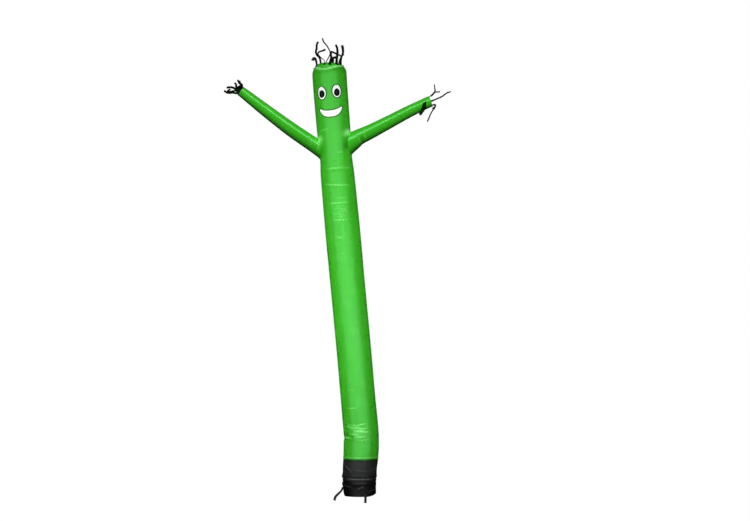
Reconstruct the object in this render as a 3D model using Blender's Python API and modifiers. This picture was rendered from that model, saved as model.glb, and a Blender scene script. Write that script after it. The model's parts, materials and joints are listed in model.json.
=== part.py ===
"""Inflatable air dancer: a 6 m cloth tube with a face, two arms and black streamers.

Metres, +Z up. The origin is the centre of the sleeve's mouth, and the face looks along -Y.
Left and right are a viewer's who stands in front of the face. Angles round a tube are in
degrees: 0 at the front, positive toward +X.
"""
import math
from collections import namedtuple

import bmesh
import bpy
from mathutils import Quaternion, Vector

# Cloth, webbing and ribbon
NYLON = 0.0015
SLEEVE_CLOTH = 0.0025
PATCH = 0.001
WEBBING = 0.002
RIBBON = 0.001
GAP = 0.0003

# Sides of the faceted tubes, and columns and steps of the pieces on them
BODY_SIDES = 26
ARM_SIDES = 14
OVAL_STEPS = 9
MOUTH_STEPS = 14
DRAPED_STEPS = 9
CURVE_STEPS = 2
SHARP = 40  # degrees; edges that bend more are shaded sharp

# The upright, from hem to vent: height of a ring's centre, its sideways place, its radius,
# and how far the ring tips toward -X (degrees)
Ring = namedtuple("Ring", "z x radius lean")

SLEEVE_TOP = 0.475
SLEEVE = [
    Ring(0.000, -0.001, 0.2150, 0),
    Ring(0.010, -0.001, 0.2150, 0),
    Ring(0.060, -0.002, 0.2155, 0),
    Ring(0.120, -0.004, 0.2165, 0),
    Ring(0.165, -0.006, 0.2215, 0),
    Ring(0.198, -0.006, 0.2150, 0),
    Ring(0.226, -0.006, 0.2150, 0),
    Ring(0.255, -0.004, 0.2250, 0),
    Ring(0.310, 0.000, 0.2240, 0),
    Ring(0.370, 0.003, 0.2260, 0),
    Ring(0.430, 0.008, 0.2280, 0),
    Ring(SLEEVE_TOP, 0.012, 0.2285, 0),
]
SHOULDER_SEAM = 5.614
BODY = [
    Ring(SLEEVE_TOP + GAP, 0.012, 0.2285, 0),
    Ring(0.560, 0.017, 0.2315, 0),
    Ring(0.660, 0.020, 0.2325, 0),
    Ring(0.770, 0.0205, 0.2310, 1.5),
    Ring(0.870, 0.0155, 0.2310, 3.5),
    Ring(0.970, 0.0065, 0.2312, 4.8),
    Ring(1.280, -0.0220, 0.2280, 5.2),
    Ring(1.910, -0.0765, 0.2275, 5.2),
    Ring(2.750, -0.1560, 0.2273, 5.2),
    Ring(3.380, -0.2145, 0.2292, 5.2),
    Ring(3.800, -0.2535, 0.2262, 5.2),
    Ring(4.220, -0.2925, 0.2210, 5.2),
    Ring(4.430, -0.3105, 0.2105, 5.0),
    Ring(4.600, -0.3260, 0.2160, 4.8),
    Ring(4.900, -0.3505, 0.2215, 4.4),
    Ring(5.480, -0.3948, 0.2250, 4.4),
    Ring(5.540, -0.3980, 0.2240, 4.4),
    Ring(5.578, -0.4010, 0.2135, 4.8),
    Ring(5.604, -0.4060, 0.1980, 5.6),
    Ring(SHOULDER_SEAM, -0.4075, 0.1915, 6.0),
]
CROWN = [
    Ring(SHOULDER_SEAM + GAP, -0.4075, 0.1913, 6.0),
    Ring(5.621, -0.4070, 0.1868, 5.0),
    Ring(5.638, -0.4055, 0.1700, 0.5),
    Ring(5.658, -0.4055, 0.1350, 0.5),
    Ring(5.670, -0.4055, 0.1000, 0.5),
    Ring(5.676, -0.4055, 0.0600, 0.5),
]

# Folds: the middle's height and angle, half the angle and height that it covers, and how
# far the cloth moves out there (in, where negative)
Fold = namedtuple("Fold", "z angle half_angle half_height out")
FOLD_FOOT = 1.4  # a fold's feet lie this many of its half heights from its middle
RING_SPACING = 0.012

BODY_FOLDS = [
    Fold(0.757, -78, 40, 0.020, -0.0120),
    Fold(0.805, -62, 38, 0.026, -0.0160),
    Fold(0.868, 0, 45, 0.020, -0.0070),
    Fold(0.937, -25, 60, 0.020, -0.0070),
    Fold(1.150, 0, 45, 0.018, -0.0040),
    Fold(3.620, 10, 45, 0.022, -0.0050),
    Fold(3.830, 0, 60, 0.024, -0.0060),
    Fold(4.065, 0, 70, 0.024, -0.0070),
    Fold(4.280, -5, 85, 0.024, -0.0090),
    Fold(4.500, 25, 45, 0.024, -0.0060),
]
SLEEVE_FOLDS = [
    Fold(0.310, -62, 30, 0.045, -0.0060),
    Fold(0.370, -45, 22, 0.045, 0.0040),
    Fold(0.370, 75, 30, 0.050, -0.0050),
    Fold(0.255, -90, 40, 0.030, 0.0070),
    Fold(0.165, -76, 35, 0.025, 0.0065),
    Fold(0.255, 90, 40, 0.030, 0.0030),
    Fold(0.212, 92, 50, 0.030, 0.0060),
]

# The hem is drawn in on the left and rucked up at the corner on the right: each one's middle
# angle, half the angle that it covers, and how far the hem moves. Both fade out over the reach.
Hem = namedtuple("Hem", "angle half_angle move")

HEM_DRAWN_IN = Hem(-90, 75, 0.028)
HEM_RUCK = Hem(95, 72, 0.036)
HEM_REACH = 0.120

# The strap that cinches the sleeve lies between these two rings of it, at these shares of the
# way up
GROOVE = (SLEEVE[5], SLEEVE[6])
STRAP_EDGES = (0.15, 0.85)

# Arms: the centre's place, sideways and up, and the outer diameter
Section = namedtuple("Section", "x z diameter")

ARM_LEFT = [
    Section(-0.430, 4.474, 0.198),
    Section(-0.572, 4.577, 0.197),
    Section(-0.913, 4.812, 0.187),
    Section(-1.100, 4.951, 0.174),
    Section(-1.280, 5.088, 0.160),
    Section(-1.463, 5.231, 0.143),
    Section(-1.525, 5.279, 0.136),
    Section(-1.557, 5.303, 0.132),
]
ARM_RIGHT = [
    Section(-0.205, 4.566, 0.268),
    Section(-0.066, 4.664, 0.232),
    Section(-0.024, 4.692, 0.212),
    Section(0.021, 4.716, 0.203),
    Section(0.083, 4.744, 0.195),
    Section(0.371, 4.891, 0.171),
    Section(0.633, 5.029, 0.156),
    Section(0.870, 5.144, 0.146),
    Section(0.898, 5.157, 0.146),
    Section(0.933, 5.169, 0.144),
]
ARM_HOLE = 0.90  # the body's hole, as a share of the arm's inside diameter
ARM_HOLE_DEPTH = 0.2
ARM_HEIGHTS = (4.0, 5.0)  # the arms meet the body between these

# Face: angles in degrees, heights along the tube
Oval = namedtuple("Oval", "name angle z half_width half_height")

EYES = [
    Oval("eye_white_left", -30.1, 5.279, 0.062, 0.0845),
    Oval("eye_white_right", 22.1, 5.292, 0.062, 0.0845),
]
PUPILS = [
    Oval("pupil_left", -30.8, 5.2655, 0.0375, 0.048),
    Oval("pupil_right", 23.4, 5.2757, 0.0375, 0.048),
]
OVAL_ENDS = (0.04, 0.96)  # an oval's first and last columns, as shares of half a turn

# The mouth's edges: height, rise to the right, and rise toward both corners by this power
Edge = namedtuple("Edge", "z tilt rise power")

MOUTH_ANGLE = -3.3
MOUTH_HALF_ANGLE = 41.2
MOUTH_UPPER = Edge(5.0505, 0.0095, 0.0430, 2.3)
MOUTH_LOWER = Edge(4.963, 0.0060, 0.0845, 2.77)
MOUTH_END = 0.995
MOUTH_CORNER_POWER = 10

# Streamers: the facet that carries each one's root, how far it is turned from the front near
# its root and at its tip (0 shows its whole width, 90 its edge), and its route beyond its root,
# as (x, y, z). On the crown the row of facets comes first.
HAIR_WIDTH = 0.028
HAIR_SEWN = (0.1, 0.85)
HAND_WIDTH = 0.024
# A hand streamer's straight root, as shares of the last stretch of its arm, and past its end
CUFF_START = 0.4
CUFF_END = 1.35
Hair = namedtuple("Hair", "row side near far route")
Streamer = namedtuple("Streamer", "side near far route")

HAIR = [
    Hair(1, 21, -40, 0, [
        (-0.567, -0.082, 5.684), (-0.580, -0.085, 5.720), (-0.598, -0.086, 5.727), (-0.616, -0.087, 5.698)]),
    Hair(2, 16, 50, 0, [
        (-0.516, 0.088, 5.700), (-0.527, 0.080, 5.743), (-0.560, 0.072, 5.778), (-0.575, 0.065, 5.820),
        (-0.566, 0.060, 5.855), (-0.563, 0.055, 5.909), (-0.546, 0.050, 5.952)]),
    Hair(2, 24, -75, -15, [
        (-0.462, -0.130, 5.698), (-0.512, -0.128, 5.742), (-0.543, -0.124, 5.780), (-0.532, -0.122, 5.808),
        (-0.490, -0.120, 5.823), (-0.446, -0.118, 5.841)]),
    Hair(2, 14, 75, 30, [
        (-0.432, 0.120, 5.705), (-0.400, 0.105, 5.762), (-0.387, 0.095, 5.805), (-0.398, 0.088, 5.842),
        (-0.430, 0.080, 5.898), (-0.472, 0.072, 5.948), (-0.489, 0.070, 5.998)]),
    Hair(2, 0, 10, 30, [
        (-0.378, -0.142, 5.700), (-0.369, -0.140, 5.738), (-0.377, -0.136, 5.772), (-0.370, -0.132, 5.800)]),
    Hair(2, 3, 20, 40, [
        (-0.300, -0.092, 5.722), (-0.291, -0.090, 5.778), (-0.291, -0.086, 5.830), (-0.296, -0.082, 5.868),
        (-0.314, -0.080, 5.906)]),
    Hair(2, 11, -15, 0, [
        (-0.352, 0.126, 5.700), (-0.349, 0.120, 5.735), (-0.325, 0.114, 5.748), (-0.300, 0.110, 5.738)]),
    Hair(1, 5, 70, 10, [
        (-0.241, -0.042, 5.695), (-0.238, -0.045, 5.740), (-0.260, -0.048, 5.768), (-0.300, -0.050, 5.784),
        (-0.342, -0.053, 5.806), (-0.380, -0.056, 5.818)]),
    Hair(1, 4, 40, 20, [
        (-0.252, -0.084, 5.710), (-0.236, -0.088, 5.752), (-0.207, -0.090, 5.780)]),
    Hair(1, 9, -50, 0, [
        (-0.264, 0.110, 5.705), (-0.240, 0.105, 5.755), (-0.220, 0.098, 5.808), (-0.222, 0.090, 5.860),
        (-0.231, 0.085, 5.906)]),
]
LEFT_HAND = [
    Streamer(6, 0, 30, [(-1.548, -0.022, 5.386), (-1.578, -0.026, 5.410), (-1.566, -0.028, 5.438)]),
    Streamer(4, 0, 20, [(-1.609, -0.060, 5.352), (-1.616, -0.060, 5.385), (-1.634, -0.058, 5.410)]),
    Streamer(3, 10, 0, [
        (-1.628, -0.064, 5.330), (-1.658, -0.062, 5.346), (-1.696, -0.058, 5.351), (-1.741, -0.055, 5.345)]),
    Streamer(1, 0, 30, [
        (-1.626, -0.042, 5.276), (-1.660, -0.040, 5.282), (-1.697, -0.036, 5.278), (-1.730, -0.034, 5.280),
        (-1.722, -0.032, 5.306), (-1.692, -0.030, 5.328)]),
    Streamer(11, 70, 0, [
        (-1.622, 0.050, 5.308), (-1.680, 0.030, 5.300), (-1.736, 0.015, 5.285), (-1.776, 0.010, 5.308)]),
    Streamer(7, 0, 40, [(-1.550, 0.024, 5.392), (-1.584, 0.028, 5.424), (-1.600, 0.030, 5.452)]),
    Streamer(5, 20, 20, [
        (-1.560, -0.062, 5.364), (-1.590, -0.092, 5.346), (-1.600, -0.100, 5.304), (-1.588, -0.100, 5.260)]),
]
RIGHT_HAND = [
    Streamer(6, 0, 50, [
        (0.960, -0.018, 5.262), (0.984, -0.020, 5.302), (0.981, -0.018, 5.348), (0.977, -0.015, 5.392)]),
    Streamer(7, 60, 20, [
        (0.952, 0.022, 5.260), (0.975, 0.032, 5.286), (1.012, 0.040, 5.292), (1.053, 0.045, 5.296)]),
    Streamer(3, 40, 10, [
        (1.007, -0.070, 5.199), (1.078, -0.066, 5.232), (1.137, -0.060, 5.274), (1.191, -0.058, 5.294)]),
    Streamer(1, 10, 10, [(0.990, -0.048, 5.118), (0.978, -0.056, 5.090), (0.946, -0.062, 5.072)]),
    Streamer(12, 60, 20, [
        (0.990, 0.048, 5.112), (0.982, 0.052, 5.082), (0.952, 0.052, 5.046), (0.926, 0.048, 4.998),
        (0.911, 0.045, 4.960), (0.886, 0.042, 4.903)]),
]
# One streamer is sewn on the right cuff's top and hangs down over its front, where it spreads:
# from and to these places and angles on the arm, then on by this route of (x, y, z, width)
DRAPED_WIDTHS = (0.034, 0.078)
DRAPED_FROM = (0.903, 165)
DRAPED_TO = (0.802, 35)
DRAPED_ROUTE = [(0.800, -0.048, 5.012, 0.052), (0.796, -0.046, 4.984, 0.022)]
DRAPED_CLEAR = 0.0022

# Tie ends: the row and facet of the sleeve that carries each, its turns from the front as
# above, and its route below its sewn end
Tie = namedtuple("Tie", "name row side near far route")
TIE_WIDTH = 0.028
TIE_SEWN = (0.1, 0.9)
TIES = [
    Tie("tie_front", 1, 1, -21, -12, [(0.076, -0.203, -0.030), (0.072, -0.206, -0.079)]),
    Tie("tie_left", 3, 20, 50, 0, [
        (-0.246, -0.062, 0.074), (-0.286, -0.066, 0.026), (-0.312, -0.068, -0.008),
        (-0.325, -0.068, -0.056)]),
]


def lerp(a, b, t):
    return a + (b - a) * t


def ring_at(rings, z):
    """The ring at a height, straight between its neighbours."""
    for low, high in zip(rings, rings[1:]):
        if z <= high.z:
            t = (z - low.z) / (high.z - low.z)
            return Ring(*(lerp(a, b, t) for a, b in zip(low, high)))
    return rings[-1]


def fold_out(folds, z, angle):
    """How far the folds move the cloth at a height and angle."""
    out = 0.0
    for fold in folds:
        across = (angle - fold.angle) / fold.half_angle
        if abs(across) < 1:
            up = (z - fold.z) / fold.half_height
            out += fold.out * math.cos(across * math.pi / 2) ** 2 * math.exp(-up * up)
    return out


def signed(angle):
    """The same angle, from -180 to 180."""
    return (angle + 180) % 360 - 180


def ring_point(ring, angle, out=0.0, lift=0.0):
    """A point on a ring's circle, moved out from it and up."""
    a = math.radians(angle)
    lean = math.radians(ring.lean)
    across = Vector((math.cos(lean), 0, math.sin(lean)))
    centre = Vector((ring.x, 0, ring.z + lift))
    return centre + (ring.radius + out) * (math.sin(a) * across - math.cos(a) * Vector((0, 1, 0)))


def angles(sides):
    return [signed(360 * i / sides) for i in range(sides)]


def with_fold_rings(rings, folds):
    """The rings, with more across each fold where none is near."""
    levels = [r.z for r in rings]
    for fold in folds:
        foot = fold.half_height * FOLD_FOOT
        for z in (fold.z, fold.z - foot, fold.z + foot):
            if min(abs(z - level) for level in levels) > RING_SPACING:
                levels.append(z)
    return [ring_at(rings, z) for z in sorted(levels)]


def make_object(name, mesh, material):
    mesh.materials.append(material)
    mesh.shade_smooth()
    mesh.set_sharp_from_angle(angle=math.radians(SHARP))
    thing = bpy.data.objects.new(name, mesh)
    parts.objects.link(thing)
    return thing


def grid_mesh(name, rows, closed):
    """A mesh over rows of points, closed round each row or open, with every diagonal the same way."""
    bm = bmesh.new()
    made = [[bm.verts.new(p) for p in row] for row in rows]
    count = len(rows[0])
    for low, high in zip(made, made[1:]):
        for i in range(count if closed else count - 1):
            j = (i + 1) % count
            bm.faces.new((low[i], low[j], high[j]))
            bm.faces.new((low[i], high[j], high[i]))
    mesh = bpy.data.meshes.new(name)
    bm.to_mesh(mesh)
    bm.free()
    return mesh


def thicken(thing, thickness, offset):
    """Solidify: offset -1 grows inward, 1 outward and 0 both ways."""
    solid = thing.modifiers.new("cloth", "SOLIDIFY")
    solid.thickness = thickness
    solid.offset = offset
    solid.use_even_offset = True


def cut(thing, cutter):
    knife = thing.modifiers.new("cut " + cutter.name, "BOOLEAN")
    knife.operation = "DIFFERENCE"
    knife.solver = "EXACT"
    knife.object = cutter


def make_cutter(name, rows):
    """A closed, capped loft that only cuts."""
    mesh = grid_mesh(name, rows, closed=True)
    bm = bmesh.new()
    bm.from_mesh(mesh)
    rims = [e for e in bm.edges if e.is_boundary]
    bmesh.ops.holes_fill(bm, edges=rims, sides=0)
    bmesh.ops.recalc_face_normals(bm, faces=bm.faces)
    bm.to_mesh(mesh)
    bm.free()
    cutter = bpy.data.objects.new(name, mesh)
    cutter.hide_render = True
    cutter.display_type = "WIRE"
    cutters.objects.link(cutter)
    return cutter


def body_rows(rings, out=0.0):
    turns = angles(BODY_SIDES)
    return [[ring_point(r, a, out + fold_out(BODY_FOLDS, r.z, a)) for a in turns] for r in rings]


def body_tube(rings, material, arm_bores):
    tube = make_object("body_tube", grid_mesh("body_tube", body_rows(rings), closed=True), material)
    thicken(tube, NYLON, -1)
    for bore in arm_bores:
        cut(tube, bore)
    return tube


def head_crown(material):
    rows = [[ring_point(r, a) for a in angles(BODY_SIDES)] for r in CROWN]
    thicken(make_object("head_crown", grid_mesh("head_crown", rows, closed=True), material), NYLON, -1)


def hem_move(hem, angle):
    """How far the hem is moved at an angle."""
    across = (angle - hem.angle) / hem.half_angle
    return hem.move * math.cos(across * math.pi / 2) ** 2 if abs(across) < 1 else 0.0


def sleeve_point(ring, angle, out=0.0):
    """A point on the sleeve, whose hem fades into the round sleeve above it."""
    fade = max(0.0, 1 - ring.z / HEM_REACH)
    moved = out + fold_out(SLEEVE_FOLDS, ring.z, angle) - hem_move(HEM_DRAWN_IN, angle) * fade**3
    return ring_point(ring, angle, moved, hem_move(HEM_RUCK, angle) * fade)


def base_sleeve(material):
    rows = [[sleeve_point(r, a) for a in angles(BODY_SIDES)] for r in SLEEVE]
    sleeve = make_object("base_sleeve", grid_mesh("base_sleeve", rows, closed=True), material)
    thicken(sleeve, SLEEVE_CLOTH, -1)


def cinch_strap(material):
    low, high = ([sleeve_point(r, a, GAP) for a in angles(BODY_SIDES)] for r in GROOVE)
    rows = [[lerp(a, b, share) for a, b in zip(low, high)] for share in STRAP_EDGES]
    thicken(make_object("cinch_strap", grid_mesh("cinch_strap", rows, closed=True), material), WEBBING, 1)


def arm_frames(sections):
    """Each section's centre, the direction up across the arm, and its outer radius."""
    frames = []
    for i, section in enumerate(sections):
        before = sections[max(i - 1, 0)]
        after = sections[min(i + 1, len(sections) - 1)]
        along = Vector((after.x - before.x, 0, after.z - before.z)).normalized()
        up = Vector((-along.z, 0, along.x))
        if up.z < 0:
            up.negate()
        frames.append((Vector((section.x, 0, section.z)), up, section.diameter / 2))
    return frames


def arm_point(frame, angle, out=0.0):
    """A point round an arm, from its underside: 180 is its top and 90 its front."""
    centre, up, radius = frame
    a = math.radians(angle)
    return centre + (radius + out) * (-math.cos(a) * up - math.sin(a) * Vector((0, 1, 0)))


def arm(name, sections, material, body_envelope):
    rows = [[arm_point(f, a) for a in angles(ARM_SIDES)] for f in arm_frames(sections)]
    if sections[-1].x > sections[0].x:
        rows.reverse()
    thing = make_object(name, grid_mesh(name, rows, closed=True), material)
    thicken(thing, NYLON, -1)
    cut(thing, body_envelope)
    return thing


def arm_bore(name, sections):
    """The body's hole for an arm: a straight round cutter along the arm's root."""
    start, end = (Vector((s.x, 0, s.z)) for s in sections[:2])
    radius = (sections[1].diameter / 2 - NYLON) * ARM_HOLE
    bpy.ops.mesh.primitive_cylinder_add(
        vertices=ARM_SIDES, radius=radius, depth=ARM_HOLE_DEPTH, location=(start + end) / 2
    )
    bore = bpy.context.object
    bore.name = name
    bore.rotation_euler = (end - start).to_track_quat("Z", "Y").to_euler()
    bore.hide_render = True
    bore.display_type = "WIRE"
    for owner in list(bore.users_collection):
        owner.objects.unlink(bore)
    cutters.objects.link(bore)
    return bore


def head_point(z, angle, out):
    return ring_point(ring_at(BODY, z), angle, out)


def patch(name, columns, out, material):
    """A thin piece on the head: columns of (angle, low, high), from left to right."""
    rows = [[head_point(column[end], column[0], out) for column in columns] for end in (1, 2)]
    thicken(make_object(name, grid_mesh(name, rows, closed=False), material), PATCH, 1)


def oval_columns(oval):
    """Columns of an oval, closer together toward its ends."""
    radius = ring_at(BODY, oval.z).radius
    columns = []
    for i in range(OVAL_STEPS + 1):
        turn = math.pi * lerp(*OVAL_ENDS, i / OVAL_STEPS)
        angle = oval.angle - math.degrees(oval.half_width * math.cos(turn) / radius)
        half = oval.half_height * math.sin(turn)
        columns.append((angle, oval.z - half, oval.z + half))
    return columns


def mouth_columns():
    """A crescent: both edges rise toward the corners, the lower one late and steeply."""
    columns = []
    for i in range(MOUTH_STEPS + 1):
        u = lerp(-MOUTH_END, MOUTH_END, i / MOUTH_STEPS)
        upper, lower = (e.z + e.tilt * u + e.rise * abs(u) ** e.power for e in (MOUTH_UPPER, MOUTH_LOWER))
        half = (upper - lower) / 2 * math.sqrt(1 - u**MOUTH_CORNER_POWER)
        centre = (upper + lower) / 2
        columns.append((MOUTH_ANGLE + MOUTH_HALF_ANGLE * u, centre - half, centre + half))
    return columns


def face(white, black):
    for eye in EYES:
        patch(eye.name, oval_columns(eye), GAP, white)
    for pupil in PUPILS:
        patch(pupil.name, oval_columns(pupil), PATCH + 2 * GAP, black)
    patch("mouth", mouth_columns(), GAP, white)


def facet_seat(low, high, side, out):
    """The middle line of a facet between two rows, moved out clear of it (in, where negative), and
    the direction across it."""
    other = (side + 1) % len(low)
    corners = (low[side], low[other], high[side], high[other])
    bottom = (low[side] + low[other]) / 2
    top = (high[side] + high[other]) / 2
    across = (low[other] - low[side]).normalized()
    normal = across.cross(top - bottom).normalized()
    centre = sum(low, Vector()) / len(low)
    if normal.dot(bottom - centre) < 0:
        normal.negate()
    heights = [normal.dot(corner - bottom) for corner in corners]
    shift = normal * (out + (max(heights) if out > 0 else min(heights)))
    return bottom + shift, top + shift, across


def smooth_curve(points):
    """Points along a smooth curve through the given ones, from the second to the last."""
    known = [*points, points[-1]]
    curve = [points[1]]
    for a, b, c, d in zip(known, known[1:], known[2:], known[3:]):
        for step in range(1, CURVE_STEPS + 1):
            t = step / CURVE_STEPS
            bend = (c - a) * t + (2 * a - 5 * b + 4 * c - d) * t**2 + (3 * b - a - 3 * c + d) * t**3
            curve.append(b + bend / 2)
    return curve


def strip(name, path, across, width, near, far, thickness, material):
    """A flat band along a path: its first stretch lies across its seat, then it turns on the way."""
    edges = ([], [])
    last = len(path) - 1
    for i, point in enumerate(path):
        if i > 1:
            along = (path[min(i + 1, last)] - path[i - 1]).normalized()
            facing = along.cross(Vector((0, 1, 0)))
            if facing.dot(across) < 0:
                facing.negate()
            turn = math.radians(lerp(near, far, (i - 1) / (last - 1)))
            across = across + Quaternion(along, turn) @ facing.normalized()
            across = (across - across.dot(along) * along).normalized()
        edges[0].append(point - across * width / 2)
        edges[1].append(point + across * width / 2)
    thicken(make_object(name, grid_mesh(name, edges, closed=False), material), thickness, 0)


def rooted(name, seat, width, item, thickness, material):
    """A strip that is sewn flat along its seat, and then follows its route."""
    start, end, across = seat
    path = [start, *smooth_curve([start, end, *(Vector(p) for p in item.route)])]
    strip(name, path, across, width, item.near, item.far, thickness, material)


def hair(material):
    rows = [[ring_point(r, a) for a in angles(BODY_SIDES)] for r in CROWN]
    for number, lock in enumerate(HAIR, 1):
        bottom, top, across = facet_seat(rows[lock.row], rows[lock.row + 1], lock.side, GAP + RIBBON / 2)
        seat = (*(lerp(bottom, top, share) for share in HAIR_SEWN), across)
        rooted(f"hair_streamer_{number}", seat, HAIR_WIDTH, lock, RIBBON, material)


def hand_streamers(side, sections, streamers, material):
    low, high = ([arm_point(f, a) for a in angles(ARM_SIDES)] for f in arm_frames(sections)[-2:])
    for number, streamer in enumerate(streamers, 1):
        bottom, top, across = facet_seat(low, high, streamer.side, -(NYLON + GAP + RIBBON / 2))
        seat = (lerp(bottom, top, CUFF_START), lerp(bottom, top, CUFF_END), across)
        rooted(f"{side}_hand_streamer_{number}", seat, HAND_WIDTH, streamer, RIBBON, material)


def frame_at(sections, x):
    """An arm's frame at a sideways place, straight between its sections."""
    frames = arm_frames(sections)
    for (low, up, low_radius), (high, other_up, high_radius) in zip(frames, frames[1:]):
        if min(low.x, high.x) <= x <= max(low.x, high.x):
            t = (x - low.x) / (high.x - low.x)
            return lerp(low, high, t), lerp(up, other_up, t).normalized(), lerp(low_radius, high_radius, t)
    raise ValueError("no section of the arm is there")


def draped_streamer(name, material):
    """Both edges lie on the arm, half the width up or down it, and then hang straight on."""
    edges = ([], [])
    for side, edge in zip((-0.5, 0.5), edges):
        for i in range(DRAPED_STEPS + 1):
            share = i / DRAPED_STEPS
            x, angle = (lerp(a, b, share) for a, b in zip(DRAPED_FROM, DRAPED_TO))
            place = x + side * lerp(*DRAPED_WIDTHS, share)
            edge.append(arm_point(frame_at(ARM_RIGHT, place), angle, DRAPED_CLEAR))
        for x, y, z, width in DRAPED_ROUTE:
            edge.append(Vector((x + side * width, y, z)))
    thicken(make_object(name, grid_mesh(name, edges, closed=False), material), RIBBON, 0)


def ties(material):
    rows = [[sleeve_point(r, a) for a in angles(BODY_SIDES)] for r in SLEEVE]
    for tie in TIES:
        bottom, top, across = facet_seat(rows[tie.row], rows[tie.row + 1], tie.side, GAP + WEBBING / 2)
        end, start = (lerp(bottom, top, share) for share in TIE_SEWN)
        rooted(tie.name, (start, end, across), TIE_WIDTH, tie, WEBBING, material)


def make_material(name, colour, roughness):
    material = bpy.data.materials.new(name)
    material.use_nodes = True
    shader = material.node_tree.nodes["Principled BSDF"]
    shader.inputs["Base Color"].default_value = (*colour, 1)
    shader.inputs["Roughness"].default_value = roughness
    shader.inputs["Metallic"].default_value = 0
    return material


def build():
    green = make_material("green nylon", (0.055, 0.45, 0.03), 0.45)
    sleeve_black = make_material("coated black cloth", (0.012, 0.012, 0.012), 0.6)
    webbing = make_material("black webbing", (0.008, 0.008, 0.008), 0.8)
    ribbon_black = make_material("black ribbon", (0.01, 0.012, 0.01), 0.6)
    white = make_material("white cloth", (0.85, 0.86, 0.83), 0.6)
    rings = with_fold_rings(BODY, BODY_FOLDS)
    low, high = ARM_HEIGHTS
    envelope = make_cutter("body_envelope", body_rows([r for r in rings if low < r.z < high], GAP))
    bores = [arm_bore("bore_left", ARM_LEFT), arm_bore("bore_right", ARM_RIGHT)]
    body_tube(rings, green, bores)
    head_crown(green)
    arm("arm_left", ARM_LEFT, green, envelope)
    arm("arm_right", ARM_RIGHT, green, envelope)
    base_sleeve(sleeve_black)
    cinch_strap(webbing)
    face(white, ribbon_black)
    hair(ribbon_black)
    hand_streamers("left", ARM_LEFT, LEFT_HAND, ribbon_black)
    hand_streamers("right", ARM_RIGHT, RIGHT_HAND, ribbon_black)
    draped_streamer(f"right_hand_streamer_{len(RIGHT_HAND) + 1}", ribbon_black)
    ties(webbing)


for old in list(bpy.data.objects):
    bpy.data.objects.remove(old)
parts = bpy.data.collections.new("inflatable air dancer")
cutters = bpy.data.collections.new("cutters")
bpy.context.scene.collection.children.link(parts)
bpy.context.scene.collection.children.link(cutters)
build()
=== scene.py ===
"""Looks for the inflatable air dancer: cloth, webbing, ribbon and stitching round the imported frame.

Metres, +Z up, and the face looks along -Y. Left and right are a viewer's who stands in front
of the face. Angles round a tube are in degrees: 0 at the front, positive toward +X.
"""
import json
import math
from collections import namedtuple

import bpy
import numpy as np
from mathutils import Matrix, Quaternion, Vector, noise

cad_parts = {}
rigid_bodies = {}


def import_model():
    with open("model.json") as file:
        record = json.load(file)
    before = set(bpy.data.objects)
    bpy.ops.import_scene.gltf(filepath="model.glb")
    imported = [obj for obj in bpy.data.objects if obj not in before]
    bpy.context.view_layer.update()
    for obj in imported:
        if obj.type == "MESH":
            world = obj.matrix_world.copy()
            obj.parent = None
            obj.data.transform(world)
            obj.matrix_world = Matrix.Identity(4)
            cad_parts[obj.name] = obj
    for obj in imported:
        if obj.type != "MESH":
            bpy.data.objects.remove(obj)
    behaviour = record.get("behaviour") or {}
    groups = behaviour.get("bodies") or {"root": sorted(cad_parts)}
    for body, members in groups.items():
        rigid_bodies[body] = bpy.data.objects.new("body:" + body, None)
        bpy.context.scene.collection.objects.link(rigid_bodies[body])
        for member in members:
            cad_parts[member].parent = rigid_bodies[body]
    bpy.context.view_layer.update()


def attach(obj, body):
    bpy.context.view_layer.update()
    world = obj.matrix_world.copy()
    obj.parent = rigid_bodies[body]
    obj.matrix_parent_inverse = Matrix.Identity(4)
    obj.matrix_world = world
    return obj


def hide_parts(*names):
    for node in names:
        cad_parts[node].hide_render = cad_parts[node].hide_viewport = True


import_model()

# ---------------------------------------------------------------- camera

AIM = Vector((0.2, 0, 3.085))
CAMERA_AT = Vector((0.2, -45, 3.9))
VIEW_WIDTH = 9.825  # metres across the view at the object
SENSOR = 36


def make_camera():
    data = bpy.data.cameras.new("camera")
    camera = bpy.data.objects.new("camera", data)
    bpy.context.scene.collection.objects.link(camera)
    camera.location = CAMERA_AT
    camera.rotation_euler = (AIM - CAMERA_AT).to_track_quat("-Z", "Y").to_euler()
    data.sensor_width = SENSOR
    data.lens = SENSOR * (AIM - CAMERA_AT).length / VIEW_WIDTH
    data.clip_end = 200
    bpy.context.scene.camera = camera


# ---------------------------------------------------------------- sizes

# How thick each cloth is, and how far the patches stand off the body
NYLON = 0.0010
SLEEVE_CLOTH = 0.0018
PATCH = 0.0009
WEBBING = 0.0018
RIBBON = 0.0008
LIFT = 0.0005


def table(kind, rows, *same):
    """A named row for each, ending with the values that all of them share."""
    return [kind(*row, *same) for row in rows]


# The upright: height of a ring's centre, its sideways place, its radius, and its tip toward -X
Ring = namedtuple("Ring", "z x radius lean")

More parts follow.
